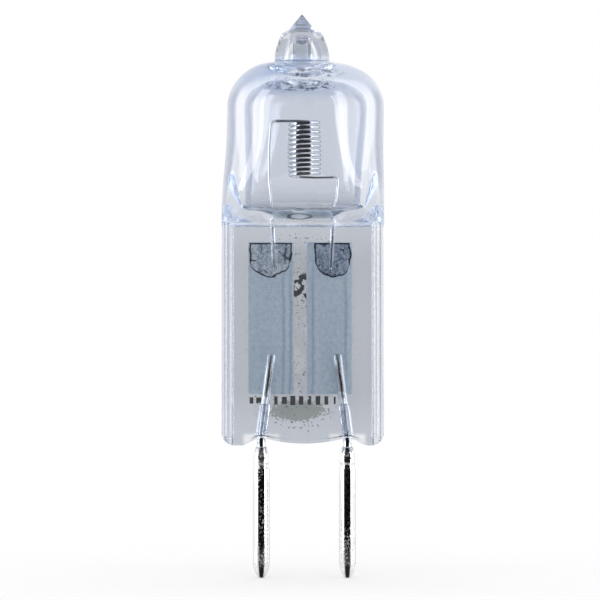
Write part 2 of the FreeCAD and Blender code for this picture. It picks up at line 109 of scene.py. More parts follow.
def arc_height(first: tuple[float, float], second: tuple[float, float],
               third: tuple[float, float], x: float) -> float:
    """The height at x of the arc through three points."""
    (ax, az), (bx, bz), (cx, cz) = first, second, third
    area = 2 * (ax * (bz - cz) + bx * (cz - az) + cx * (az - bz))
    a_sum, b_sum, c_sum = ax * ax + az * az, bx * bx + bz * bz, cx * cx + cz * cz
    centre_x = (a_sum * (bz - cz) + b_sum * (cz - az) + c_sum * (az - bz)) / area
    centre_z = (a_sum * (cx - bx) + b_sum * (ax - cx) + c_sum * (bx - ax)) / area
    square = (ax - centre_x) ** 2 + (az - centre_z) ** 2 - (x - centre_x) ** 2
    return centre_z + math.copysign(math.sqrt(max(0.0, square)), bz - centre_z)


class RingSkin:
    """A skin grown ring by ring: each ring is extruded from the last and laid on its own outline."""

    def __init__(self, bm: bmesh.types.BMesh, rings: Sequence[Sequence[Vector]],
                 capped: bool = False) -> None:
        """Grows the skin.

        Args:
            bm: The mesh to grow in.
            rings: The outline of each ring in turn, with the same number of points.
            capped: Whether the first ring is closed with a face.
        """
        made = bmesh.ops.create_circle(bm, cap_ends=False, segments=len(rings[0]), radius=MM)
        self.bm = bm
        self.foot = self.ring = list(made["verts"])
        self._lay(rings[0])
        if capped:
            self.cap()
        for outline in rings[1:]:
            self._grow(outline)

    def _lay(self, outline: Sequence[Vector]) -> None:
        """Moves the current ring onto an outline."""
        for vert, point in zip(self.ring, outline):
            vert.co = point

    def _grow(self, outline: Sequence[Vector]) -> None:
        """Extrudes the current ring and lays the new one on an outline."""
        count = len(self.ring)
        pairs = [(self.ring[i], self.ring[(i + 1) % count]) for i in range(count)]
        edges = [self.bm.edges.get(pair) for pair in pairs]
        made = bmesh.ops.extrude_edge_only(self.bm, edges=edges)
        fresh = {item for item in made["geom"] if isinstance(item, bmesh.types.BMVert)}
        self.ring = [next(edge.other_vert(vert) for edge in vert.link_edges
                          if edge.other_vert(vert) in fresh) for vert in self.ring]
        self._lay(outline)

    def cap(self) -> None:
        """Closes the current ring with a face."""
        bmesh.ops.contextual_create(self.bm, geom=self.ring)

    def close(self, point: Vector) -> None:
        """Draws the current ring together in one point and welds the first ring, laid flat, to itself."""
        bmesh.ops.pointmerge(self.bm, verts=self.ring, merge_co=point)
        bmesh.ops.remove_doubles(self.bm, verts=self.foot, dist=WELD)


@dataclass
class Route:
    """A wire's centre line: straight runs joined by tangent arcs, in millimetres."""

    corners: list[Vector]
    bends: list[float]
    arc_steps: int = 8
    run_steps: int = 4

    def points(self) -> list[Vector]:
        """The points along the line.

        Returns:
            The points from the first corner to the last.
        """
        found = [self.corners[0]]
        for index, radius in enumerate(self.bends, start=1):
            corner = self.corners[index]
            back = (self.corners[index - 1] - corner).normalized()
            ahead = (self.corners[index + 1] - corner).normalized()
            half = back.angle(ahead) / 2
            cut = radius / math.tan(half)
            centre = corner + (back + ahead).normalized() * (radius / math.sin(half))
            entry = corner + back * cut
            arm = entry - centre
            axis = arm.cross(corner - entry)
            sweep = math.pi - 2 * half
            start = found[-1]
            found += [start.lerp(entry, step / self.run_steps) for step in range(1, self.run_steps)]
            for step in range(self.arc_steps + 1):
                turn = Matrix.Rotation(sweep * step / self.arc_steps, 3, axis)
                found.append(centre + turn @ arm)
        start = found[-1]
        found += [start.lerp(self.corners[-1], step / self.run_steps)
                  for step in range(1, self.run_steps + 1)]
        return found


@dataclass
class WireSkin:
    """A round wire swept along a line of points."""

    radius: float
    sides: int = 16
    edge: float = 0.03

    def sweep(self, bm: bmesh.types.BMesh, points: Sequence[Vector]) -> None:
        """Grows the wire's skin with slightly rounded ends.

        Args:
            bm: The mesh to grow in.
            points: The centre line in millimetres above the seal's lowest corners.
        """
        heading = (points[1] - points[0]).normalized()
        arm = heading.orthogonal().normalized()
        last = len(points) - 1
        rings = []
        for index, centre in enumerate(points):
            after = points[min(index + 1, last)] - points[max(index - 1, 0)]
            arm = heading.rotation_difference(after) @ arm
            heading = after.normalized()
            insets = [(0.0, self.radius)]
            if index == 0:
                insets = [(0.0, self.radius - self.edge), (self.edge, self.radius)]
            elif index == last:
                insets = [(-self.edge, self.radius), (0.0, self.radius - self.edge)]
            rings += [self._ring(centre + heading * along, heading, arm, reach) for along, reach in insets]
        RingSkin(bm, rings, True).cap()

    def _ring(self, centre: Vector, heading: Vector, arm: Vector, reach: float) -> list[Vector]:
        """One ring's points in metres."""
        ring = []
        for step in range(self.sides):
            turn = Matrix.Rotation(2 * math.pi * step / self.sides, 3, heading)
            point = centre + turn @ (arm * reach)
            ring.append(place(*point))
        return ring


def piece(bm: bmesh.types.BMesh, name: str, material: bpy.types.Material,
          node: Optional[str] = None, outward: bool = True) -> bpy.types.Object:
    """Turns a mesh into a finished piece on the frame.

    Args:
        bm: The mesh, which is freed.
        name: The piece's name.
        material: Its material.
        node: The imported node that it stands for.
        outward: Whether all its faces are turned outward first.

    Returns:
        The new object.
    """
    if outward:
        bmesh.ops.recalc_face_normals(bm, faces=bm.faces[:])
    mesh = bpy.data.meshes.new(name)
    bm.to_mesh(mesh)
    bm.free()
    for face in mesh.polygons:
        face.use_smooth = True
    mesh.materials.append(material)
    made = bpy.data.objects.new(name, mesh)
    bpy.context.scene.collection.objects.link(made)
    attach(made, "root")
    if node:
        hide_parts(node)
    LOG.info("%s: %d faces", name, len(mesh.polygons))
    return made


def one_node(operation: str) -> Callable[["Term", "Value"], "Term"]:
    """The method behind an operator: it places one Math node."""
    def place_node(first: "Term", second: "Value") -> "Term":
        """The operation's result."""
        return first.sheet.math(operation, first, second)
    return place_node


class Term:
    """A shader value that takes part in sums: each operation places one Math node."""

    def __init__(self, sheet: "NodeSheet", socket: bpy.types.NodeSocket) -> None:
        """Wraps an output socket of the sheet's tree."""
        self.sheet = sheet
        self.socket = socket

    def __rsub__(self, other: float) -> "Term":
        """A plain number less this."""
        return self.sheet.math("SUBTRACT", other, self)

    def __abs__(self) -> "Term":
        """The value without its sign."""
        return self.sheet.math("ABSOLUTE", self)

    __add__ = __radd__ = one_node("ADD")
    __mul__ = __rmul__ = one_node("MULTIPLY")
    __sub__ = one_node("SUBTRACT")
    __truediv__ = one_node("DIVIDE")
    __pow__ = one_node("POWER")
    __gt__ = one_node("GREATER_THAN")
    __lt__ = one_node("LESS_THAN")


Value = Union[Term, float]


class NodeSheet:
    """A short way to place and join shader nodes in one tree."""

    def __init__(self, tree: bpy.types.NodeTree) -> None:
        """Wraps a node tree."""
        self.tree = tree

    def add(self, kind: str, inputs: Optional[dict] = None, **values: object) -> bpy.types.Node:
        """Places a node, sets its properties and feeds its inputs.

        Args:
            kind: The node's type name.
            inputs: A term or a plain value for each named or numbered input.
            values: Properties to set on it.

        Returns:
            The node.
        """
        node = self.tree.nodes.new(kind)
        for key, value in values.items():
            setattr(node, key, value)
        self.feed(node, inputs or {})
        return node

    def feed(self, node: bpy.types.Node, inputs: dict) -> None:
        """Joins a node's inputs to terms, or sets them to plain values."""
        for key, source in inputs.items():
            if isinstance(source, Term):
                self.tree.links.new(source.socket, node.inputs[key])
            else:
                node.inputs[key].default_value = source

    def take(self, kind: str, output: object, inputs: Optional[dict] = None, **values: object) -> Term:
        """Places a node like add, and gives one of its outputs."""
        return Term(self, self.add(kind, inputs, **values).outputs[output])

    def math(self, operation: str, *values: Value) -> Term:
        """A Math node's result."""
        return self.take("ShaderNodeMath", 0, dict(enumerate(values)), operation=operation)

    def most(self, first: Value, *others: Value) -> Value:
        """The largest of several values."""
        for other in others:
            first = self.math("MAXIMUM", first, other)
        return first

    def least(self, first: Value, *others: Value) -> Value:
        """The smallest of several values."""
        for other in others:
            first = self.math("MINIMUM", first, other)
        return first

    def ease(self, value: Value, low: Value, high: Value, start: Value = 0.0, end: Value = 1.0) -> Term:
        """A smooth change from start to end as the value goes from low to high."""
        return self.take("ShaderNodeMapRange", "Result", {"Value": value, "From Min": low, "From Max": high,
                                                          "To Min": start, "To Max": end},
                         interpolation_type="SMOOTHSTEP")

    def fall(self, value: Value, low: Value, high: Value) -> Term:
        """A smooth drop from 1 to 0 as the value goes from low to high."""
        return self.ease(value, low, high, 1.0, 0.0)

    def span(self, value: Value, low: float, low_end: float, high: float, high_end: float) -> Term:
        """1 from low_end to high, with smooth ends that reach 0 at low and at high_end."""
        return self.ease(value, low, low_end) * self.fall(value, high, high_end)

    def noise(self, vector: Term, scale: Value, detail: float = 2.0) -> Term:
        """A noise value about 0.5."""
        return self.take("ShaderNodeTexNoise", "Fac", {"Vector": vector, "Scale": scale, "Detail": detail})

    def stretch(self, vector: Term, scale: object) -> Term:
        """A vector multiplied by a scale on each axis."""
        return self.take("ShaderNodeVectorMath", 0, {0: vector, 1: scale}, operation="MULTIPLY")

    def blend(self, share: Value, first: object, second: object) -> Term:
        """A colour between two colours."""
        return self.take("ShaderNodeMix", 2, {0: share, 6: first, 7: second}, data_type="RGBA")

    def facing(self) -> Term:
        """How far the surface turns away from the eye."""
        return self.take("ShaderNodeLayerWeight", "Facing", {"Blend": 0.5})

    def places(self) -> tuple[Term, ...]:
        """The Object coordinate as a vector and as X, Y and Z in millimetres."""
        vector = self.take("ShaderNodeTexCoord", "Object")
        split = self.add("ShaderNodeSeparateXYZ", {0: self.stretch(vector, (1 / MM,) * 3)})
        return (vector, *(Term(self, socket) for socket in split.outputs))

    def reach(self, ellipse: Ellipse) -> tuple[Term, Term]:
        """How far across and up a point lies from an ellipse's middle, in halves of its size."""
        _, x, _, z = self.places()
        return (x - ellipse[0]) / ellipse[2], (z - ellipse[1]) / ellipse[3]

    def away(self, ellipse: Ellipse) -> Term:
        """How far a point lies from an ellipse's middle, where 1 is its edge."""
        across, rise = self.reach(ellipse)
        return self.math("SQRT", across * across + rise * rise)

    def rays(self) -> tuple[Term, ...]:
        """Whether the ray is the camera's own, glossy, and transmitted."""
        path = self.add("ShaderNodeLightPath")
        return tuple(Term(self, path.outputs["Is " + kind + " Ray"])
                     for kind in ("Camera", "Glossy", "Transmission"))

    def roughen(self, shader: bpy.types.Node, height: Term, strength: float, distance: float) -> None:
        """Gives a shader a bump."""
        bump = {"Height": height, "Strength": strength, "Distance": distance}
        self.feed(shader, {"Normal": self.take("ShaderNodeBump", "Normal", bump)})


def new_material(name: str) -> tuple[bpy.types.Material, NodeSheet, bpy.types.Node]:
    """A new material, with its sheet and its shader."""
    made = bpy.data.materials.new(name)
    made.use_nodes = True
    return made, NodeSheet(made.node_tree), made.node_tree.nodes["Principled BSDF"]


def grain_group() -> bpy.types.NodeTree:
    """The drawn or rolled grain that every metal here has.

    Returns:
        A group with the inputs Vector, Scale, Contrast and Length, and the outputs Height and Tint.
    """
    tree = bpy.data.node_groups.new("metal_grain", "ShaderNodeTree")
    for name in ("Vector", "Scale", "Contrast", "Length"):
        kind = "NodeSocketVector" if name == "Vector" else "NodeSocketFloat"
        tree.interface.new_socket(name, in_out="INPUT", socket_type=kind)
    for name in ("Height", "Tint"):
        tree.interface.new_socket(name, in_out="OUTPUT", socket_type="NodeSocketFloat")
    sheet = NodeSheet(tree)
    source = sheet.add("NodeGroupInput").outputs
    vector, scale, contrast, length = (Term(sheet, socket) for socket in list(source)[:4])
    squeeze = sheet.take("ShaderNodeCombineXYZ", 0, {0: 1.0, 1: 1.0, 2: length})
    lines = sheet.noise(sheet.stretch(vector, squeeze), scale, 4.0)
    cloud = sheet.noise(vector, scale * 0.35)
    sheet.add("NodeGroupOutput", {"Height": lines, "Tint": (lines - 0.5 + (cloud - 0.5)) * contrast + 0.5})
    return tree


@dataclass(frozen=True)
class QuartzFinish:
    """Clear fused quartz, faintly lavender, deeper in the seal, with the ripples of flame work; painted
    highlights, painted shade and a painted glow sit in its colour and emission.
    """

    name: str = "quartz"
    frost: float = 0.45
    ior: float = 1.458
    seal_tint: Colour = (0.53, 0.56, 0.61, 1.0)
    web_tint: Colour = (0.46, 0.48, 0.52, 1.0)
    painted_rail_shade_left: Colour = (0.52, 0.56, 0.65, 1.0)
    painted_rail_light_right: Colour = (0.82, 0.84, 0.87, 1.0)
    bulb_tint: Colour = (0.775, 0.80, 0.85, 1.0)
    # painted shade: the bulb's glass darkens where it turns away from the eye
    painted_rim_shade: Colour = (0.22, 0.26, 0.38, 1.0)
    dome_tint: Colour = (0.67, 0.72, 0.82, 1.0)
    painted_dome_rim_shade_left: Colour = (0.24, 0.33, 0.54, 1.0)
    painted_dome_rim_shade_right: Colour = (0.54, 0.60, 0.74, 1.0)
    dome_span: tuple[float, float] = (35.4, 37.0)
    tip_tint: Colour = (0.62, 0.65, 0.70, 1.0)
    painted_tip_rim_shade: Colour = (0.36, 0.38, 0.44, 1.0)
    tip_span: tuple[float, float] = (38.20, 38.70)
    # white for the painted highlights and for the faint streaks of flame work
    highlight_and_streak_white: Colour = WHITE
    depth_colour: Colour = (0.50, 0.62, 0.84, 1.0)
    depth_density: float = 24.0
    painted_glow_colour: Colour = (1.0, 0.95, 0.84, 1.0)
    painted_glow_level: float = 1.45
    trapped_depth: int = 20
    tint_span: tuple[float, float] = (25.6, 30.0)
    ripple: float = 0.012
    crumple: float = 34.0
    crumple_scale: float = 1700.0
    streak_scale: float = 420.0
    centre: float = -0.12
    rail_inner: float = 5.32
    rail_outer: float = 5.83
    shadow_lines: tuple[float, float] = (5.19, 5.72)
    shadow_fade: tuple[float, ...] = (0.02, 0.06, 0.9, 0.0)
    shadow_tint: Colour = (0.20, 0.23, 0.33, 1.0)
    rings: tuple[Ellipse, ...] = ((-0.30, 36.15, 2.25, 0.30), (0.75, 37.15, 1.90, 0.30))
    ring_at: float = 0.8
    ring_fade: tuple[float, float] = (0.18, 0.42)
    fleck_scale: float = 2100.0
    fleck_share: float = 0.9
    streak_tint: tuple[float, ...] = (0.35, 0.65, 0.0, 0.06)
    arch: Ellipse = (-0.18, 38.20, 1.17, 1.46)
    arch_wobble: float = 0.1
    arch_fade: tuple[float, ...] = (0.05, 0.11, 0.9, 0.0)
    painted_arch_shade: Colour = (0.24, 0.28, 0.38, 1.0)
    gleams: tuple[Ellipse, ...] = ((-1.40, 40.02, 0.36, 0.30), (0.98, 40.02, 0.34, 0.30))
    specks: tuple[Ellipse, ...] = ((-1.86, 39.5, 0.1, 0.26), (1.38, 39.78, 0.11, 0.22),
                                   (-2.02, 38.98, 0.06, 0.2), (-0.5, 37.05, 0.14, 0.12),
                                   (-5.05, 37.0, 0.3, 0.1))
    spot_wobble: float = 0.9
    spot_fade: tuple[float, ...] = (0.75, 1.15, 0.92, 0.0)
    fleck_tint: Colour = (0.03, 0.04, 0.07, 1.0)
    painted_glint_flecks: tuple[float, float] = (0.46, 0.40)
    painted_shade_flecks: tuple[float, float] = (0.53, 0.57)
    painted_highlight_arch: tuple[float, float] = (0.93, 0.55)
    painted_shade_arch: tuple[float, float] = (1.17, 0.0)
    haze_z: float = 26.72
    haze_x: float = -0.15
    haze_height: tuple[float, float] = (0.20, 0.38)
    haze_reach: tuple[float, float] = (1.9, 2.6)
    notch_height: tuple[float, float] = (10.45, 10.75)
    notch_reach: tuple[float, float] = (1.1, 1.5)
    web_span: tuple[float, ...] = (10.5, 14.0, 23.0, 25.8)
    rim_facing: tuple[float, float] = (0.48, 0.60)
    dome_facing: tuple[float, float] = (0.22, 0.50)
    tip_facing: tuple[float, float] = (0.08, 0.30)
    flame_span: tuple[float, ...] = (35.9, 36.2, 37.5, 38.0)
    flame_reach: tuple[float, float] = (2.1, 3.1)
    line_half: float = 0.08
    line_fade: float = 0.10
    line_breaks: tuple[float, ...] = (0.3, 0.5, 0.55, 1.0)
    foot_share: float = 0.8
    haze_share: float = 0.9
    web_top: float = 26.12
    pocket: Ellipse = (-0.36, 26.66, 0.93, 0.24)
    painted_pocket_shade: Colour = (0.015, 0.015, 0.018, 1.0)
    pocket_line: float = 0.85
    pocket_sway: float = 0.5
    pocket_fade: tuple[float, ...] = (0.12, 0.26, 0.9, 0.0)
    smudge_fade: tuple[float, ...] = (0.5, 1.0, 0.7, 0.0)

    def _painted_highlight_mask(self, sheet: NodeSheet, streaks: Term) -> Term:
        """Where highlights are painted: 1 along the rails' inner and outer edges, the web's top and the
        notches by the pins, in a band over the cavity's floor and on bright flecks round the exhaust.
        """
        _, x, _, z = sheet.places()
        aside = abs(x - self.centre)
        off_line = sheet.least(abs(aside - self.rail_inner), 0.03 + abs(aside - self.rail_outer))
        upright = sheet.fall(off_line, self.line_half * 0.6, self.line_half * 1.2)
        upright = upright * sheet.fall(z, self.web_top, self.web_top + self.line_fade)
        off_top = abs(z - self.web_top)
        level = sheet.fall(off_top, self.line_half, self.line_half * 1.8)
        level = level * sheet.fall(aside, self.rail_inner, self.rail_inner + self.line_fade)
        off_pin = abs(abs(x) - PIN_HALF)
        # painted highlights at the notches by the pins and in a band over the cavity's floor
        foot = sheet.fall(z, *self.notch_height) * sheet.fall(off_pin, *self.notch_reach)
        haze = sheet.ease(abs(z - self.haze_z), *self.haze_height, self.haze_share, 0.0)
        haze = haze * sheet.fall(abs(x - self.haze_x), *self.haze_reach)
        haze = sheet.most(haze, self._painted_sparkle(sheet, *self.painted_glint_flecks))
        line = sheet.most(upright, level, foot * self.foot_share, haze)
        return line * sheet.ease(streaks, *self.line_breaks)

    def _tint(self, sheet: NodeSheet, streaks: Term, line: Term) -> Term:
        """The glass's colour: by height and by depth of wall, with painted light and shade on the rails,
        painted shade at the rims and the dome's sides, along two shadow lines, round the gas pocket, in
        flecks and on the tip's arch, and painted highlights in white along the pressed edges, on the arch and
        in gleams.
        """
        _, x, _, z = sheet.places()
        aside = abs(x - self.centre)
        rail = sheet.ease(aside, self.rail_inner, self.rail_inner + 0.15)
        middle = sheet.span(z, *self.web_span)
        # the rails' tint with painted light and shade: the left rail darker, the right one lighter
        rails = sheet.blend(sheet.ease(x, -1.0, 1.0), self.painted_rail_shade_left, self.painted_rail_light_right)
        seal = sheet.blend(rail, sheet.blend(middle, self.seal_tint, self.web_tint), rails)
        height = sheet.ease(z, *self.tint_span)
        tint = sheet.blend(height, seal, self.bulb_tint)
        facing = sheet.facing()
        # painted shade at the bulb's rims, where the glass turns away from the eye
        tint = sheet.blend(sheet.ease(facing, *self.rim_facing) * height, tint, self.painted_rim_shade)
        dome = sheet.ease(z, *self.dome_span)
        tint = sheet.blend(dome, tint, self.dome_tint)
        # painted shade at the dome's rim, darker on the left than on the right
        side = sheet.blend(sheet.ease(x, -1.5, 1.5), self.painted_dome_rim_shade_left, self.painted_dome_rim_shade_right)
        tint = sheet.blend(dome * sheet.ease(facing, *self.dome_facing), tint, side)
        # painted shade where the tip turns away from the eye
        tip = sheet.blend(sheet.ease(facing, *self.tip_facing), self.tip_tint, self.painted_tip_rim_shade)
        tint = sheet.blend(sheet.ease(z, *self.tip_span), tint, tip)
        for at in self.shadow_lines:
            off = abs(aside - at)
            shadow = sheet.ease(off, *self.shadow_fade)
            shadow = shadow * sheet.fall(z, self.web_top, self.web_top + self.line_fade)
            tint = sheet.blend(shadow, tint, self.shadow_tint)
        # painted highlight: the glass turns white along the pressed edges
        tint = sheet.blend(line, tint, self.highlight_and_streak_white)
        # painted shade round the gas pocket under the cavity's floor
        tint = sheet.blend(self._painted_pocket_outline(sheet), tint, self.painted_pocket_shade)
        # painted shade flecks round the exhaust
        tint = sheet.blend(self._painted_sparkle(sheet, *self.painted_shade_flecks), tint, self.fleck_tint)
        # painted shade: the tip's dark arch
        tint = sheet.blend(self._painted_arch_band(sheet, *self.painted_shade_arch), tint, self.painted_arch_shade)
        # painted highlights: the tip's bright arch and the gleams on the front of the glass
        bright = sheet.most(self._painted_arch_band(sheet, *self.painted_highlight_arch), self._spots(sheet, self.gleams))
        tint = sheet.blend(bright, tint, self.highlight_and_streak_white)
        tint = sheet.blend(self._spots(sheet, self.specks), tint, self.fleck_tint)
        return sheet.blend(sheet.ease(streaks, *self.streak_tint), tint, self.highlight_and_streak_white)

    def _painted_sparkle(self, sheet: NodeSheet, start: float, end: float) -> Term:
        """Painted sparkle flecks in the uneven rings round the exhaust, where the noise runs from start to
        end; it gives both the painted glints and the painted shade flecks.
        """
        vector, _, y, _ = sheet.places()
        grit = sheet.noise(sheet.stretch(vector, (1.0, 1.0, 1.7)), self.fleck_scale, 2.0)
        shares = (0.0, self.fleck_share) if start < end else (self.fleck_share, 0.0)
        flecks = sheet.ease(grit, min(start, end), max(start, end), *shares)
        inside: Value = 0.0
        for ring in self.rings:
            off = abs(sheet.away(ring) - self.ring_at)
            inside = sheet.most(sheet.fall(off, *self.ring_fade), inside)
        return flecks * inside * sheet.fall(y, -0.6, -0.2)

    def _painted_arch_band(self, sheet: NodeSheet, middle: float, aside: float) -> Term:
        """One curved band in the tip, above the dome, at a share of the arch's size: it places both the
        painted highlight arch and the painted shade arch.
        """
        vector, x, _, z = sheet.places()
        wobble = sheet.noise(sheet.stretch(vector, (1.0, 1.0, 0.4)), 1500.0, 1.0)
        away = sheet.away(self.arch) + (wobble - 0.5) * self.arch_wobble
        band = sheet.ease(abs(away - middle), *self.arch_fade)
        centre, foot = self.arch[:2]
        above = sheet.ease(z, foot + 0.02, foot + 0.1)
        return band * above * sheet.ease(abs(x - centre), aside - 0.2, aside + 0.2)

    def _spots(self, sheet: NodeSheet, spots: tuple[Ellipse, ...]) -> Term:
        """Small ellipses with uneven edges on the front of the glass."""
        vector, _, y, _ = sheet.places()
        wobble = (sheet.noise(vector, 3000.0, 1.0) - 0.5) * self.spot_wobble
        found: Value = 0.0
        for spot in spots:
            away = sheet.away(spot) + wobble
            found = sheet.most(sheet.ease(away, *self.spot_fade), found)
        return found * sheet.fall(y, 0.0, 0.3)

    def _painted_pocket_outline(self, sheet: NodeSheet) -> Term:
        """The painted shade outlining the gas pocket under the cavity's floor, with a dark smudge above it,
        on the shoulder's front.
        """
        vector, _, y, _ = sheet.places()
        across, rise = sheet.reach(self.pocket)
        sway = (sheet.noise(vector, 1800.0, 2.0) - 0.5) * self.pocket_sway
        ring = sheet.ease(abs(sheet.away(self.pocket) + sway - self.pocket_line), *self.pocket_fade)
        smudge_rise = rise * 1.8 - 3.9
        smudge = abs(across * 2.0) ** 2.0 + smudge_rise * smudge_rise
        smudge = sheet.ease(smudge + sway * 3.0, *self.smudge_fade)
        return sheet.most(ring, smudge) * sheet.fall(y, -1.4, -1.0)

    def _flame_work(self, sheet: NodeSheet, streaks: Term) -> Term:
        """The height of the ripples: faint everywhere, strong round the exhaust's mouth."""
        vector, x, _, z = sheet.places()
        aside = abs(x - self.centre)
        band = sheet.span(z, *self.flame_span) * sheet.fall(aside, *self.flame_reach)
        crumple = sheet.noise(vector, self.crumple_scale, 2.0) * self.crumple
        return crumple * band + streaks

    def material(self) -> bpy.types.Material:
        """Builds the glass.

        Returns:
            The material.
        """
        made, sheet, shader = new_material(self.name)
        vector = sheet.places()[0]
        streaks = sheet.noise(sheet.stretch(vector, (1.0, 1.0, 0.25)), self.streak_scale, 1.0)
        # the mask of the painted highlights, which also frosts the glass there
        line = self._painted_highlight_mask(sheet, streaks)
        # painted glow: the glass gives off light on rays at the bounce limit, so that they do not end black
        deep_ray_glow = sheet.take("ShaderNodeLightPath", "Ray Depth") > self.trapped_depth - 0.5
        sheet.feed(shader, {"Base Color": self._tint(sheet, streaks, line), "Roughness": line * self.frost,
                            "Transmission Weight": 1.0, "IOR": self.ior,
                            "Emission Color": self.painted_glow_colour,
                            "Emission Strength": deep_ray_glow * self.painted_glow_level})
        sheet.roughen(shader, self._flame_work(sheet, streaks), self.ripple, MM)
        sheet.feed(made.node_tree.nodes["Material Output"], {"Volume": sheet.take(
            "ShaderNodeVolumeAbsorption", 0, {"Color": self.depth_colour, "Density": self.depth_density})})
        return made


@dataclass(frozen=True)
class FaceShade:
    """Painted reflection on polished round metal: a dark stripe painted where it faces the eye, bright
    flanks, and a thin painted dark outline.
    """

    level: float
    start: float
    end: float
    edge: float
    mottle: float = 0.0
    mottle_scale: float = 9000.0
    outline: tuple[float, float] = (0.6, 0.82)
    speck_grey: Colour = (0.4, 0.4, 0.4, 1.0)

    def dress(self, sheet: NodeSheet, colour: Term, widen: Value = 0.0, bright: Value = 0.0) -> Term:
        """Paints the reflection's shade into a metal's colour.

        Args:
            sheet: The material's nodes.
            colour: The colour of the flanks.
            widen: What is added to where the dark stripe ends.
            bright: The least brightness of the stripe, from 0 to 1.

        Returns:
            The shaded colour.
        """
        vector = sheet.places()[0]
        facing = sheet.facing()
        specks = sheet.noise(vector, self.mottle_scale, 3.0)
        ragged = (specks - 0.5) * (self.mottle * self.end) + facing
        # painted reflection: the stripe is dark where the metal faces the eye and bright at the flanks
        flank = sheet.ease(ragged, self.start, widen + self.end)
        # painted shade: a thin dark outline where the surface turns away from the eye
        outline = sheet.ease(facing, *self.outline, 1.0, self.edge)
        dark = sheet.blend(sheet.ease(specks, 0.5, 0.6, 0.0, min(1.0, self.mottle)),
                           (self.level,) * 3 + (1.0,), self.speck_grey)
        share = sheet.most(flank * outline, bright)
        return sheet.blend(share, dark, colour)


@dataclass(frozen=True)
class MetalFinish:
    """A bare metal with its grain."""

    name: str
    dark: Colour
    light: Colour
    roughness: float
    grain_scale: float
    bump: float
    contrast: float = 1.6
    lengthwise: float = 0.12

    def dress(self, sheet: NodeSheet, colour: Term) -> Term:
        """What is done to the colour before it goes into the shader: nothing on plain metal."""
        return colour

    def polish(self, sheet: NodeSheet, tint: Term) -> Term:
        """The roughness: a little lower where the grain is light."""
        return sheet.ease(tint, 0.0, 1.0, self.roughness * 1.2, self.roughness * 0.8)

    def material(self, grain: bpy.types.NodeTree) -> bpy.types.Material:
        """Builds the metal.

        Args:
            grain: The grain group.

        Returns:
            The material.
        """
        made, sheet, shader = new_material(self.name)
        group = sheet.add("ShaderNodeGroup", node_tree=grain)
        sheet.feed(group, {"Vector": sheet.places()[0], "Length": self.lengthwise, "Scale": self.grain_scale,
                           "Contrast": self.contrast})
        tint = Term(sheet, group.outputs["Tint"])
        sheet.feed(shader, {"Base Color": self.dress(sheet, sheet.blend(tint, self.dark, self.light)),
                            "Metallic": 1.0, "Roughness": self.polish(sheet, tint)})
        sheet.roughen(shader, Term(sheet, group.outputs["Height"]), self.bump, 0.02 * MM)
        return made


@dataclass(frozen=True)
class TungstenFinish(MetalFinish):
    """Drawn tungsten, with a painted reflection: the coil painted dark in front and bright at its sides, the
    legs bright all along.
    """

    shade: FaceShade = FaceShade(0.04, 0.06, 0.20, 0.30)
    front_x: float = -0.10
    front_half: float = 0.46
    front_soft: float = 0.07
    painted_front_reflection_share: float = 0.94
    painted_front_reflection_colour: Colour = (0.006, 0.006, 0.006, 1.0)
    leg_x: float = 2.10
    leg_bright: float = 0.9
    leg_roughness: float = 0.22

    def dress(self, sheet: NodeSheet, colour: Term) -> Term:
        """Paints the reflection's shade on the coil, darkest along its front, and keeps the legs bright."""
        _, x, y, _ = sheet.places()
        leg = abs(x) > self.leg_x
        shaded = self.shade.dress(sheet, colour, 0.0, leg * self.leg_bright)
        # painted reflection: a dark band down the coil's front, standing for the dark room before it
        across = abs(x - self.front_x)
        front = sheet.fall(across, self.front_half - self.front_soft, self.front_half + self.front_soft)
        front = front * sheet.ease(y, -0.8, -0.6, self.painted_front_reflection_share, 0.0)
        return sheet.blend(front, shaded, self.painted_front_reflection_colour)

    def polish(self, sheet: NodeSheet, tint: Term) -> Term:
        """The roughness: bright-drawn in the coil, dull on the legs."""
        _, x, _, _ = sheet.places()
        return sheet.ease(abs(x), self.leg_x, self.leg_x + 0.1, self.roughness, self.leg_roughness)


@dataclass(frozen=True)
class LeadFinish(MetalFinish):
    """Drawn molybdenum: a painted dark reflection down its core over the foil, frosted by the quartz and
    painted white as a highlight below it, bare at the pin.
    """

    shade: FaceShade = FaceShade(0.06, 0.0, 0.14, 0.8, 0.5, 6000.0)
    frost_and_highlight_span: tuple[float, ...] = (10.45, 10.65, 13.10, 13.90)
    frost_and_highlight_colour: Colour = (0.93, 0.96, 1.0, 1.0)

    def dress(self, sheet: NodeSheet, colour: Term) -> Term:
        """Paints the reflection's shade on the wire and lays the frost, with its painted highlight, on it."""
        vector, _, _, z = sheet.places()
        patches = sheet.noise(sheet.stretch(vector, (1.0, 1.0, 0.5)), 2600.0, 4.0)
        height = (patches - 0.5) * 1.6 + z
        # white patches: partly the quartz's frost and partly a painted highlight from the clearance round the
        # wire
        frost = sheet.span(height, *self.frost_and_highlight_span) * sheet.ease(patches, 0.32, 0.5, 0.25, 1.0)
        shaded = self.shade.dress(sheet, colour)
        return sheet.blend(frost, shaded, self.frost_and_highlight_colour)


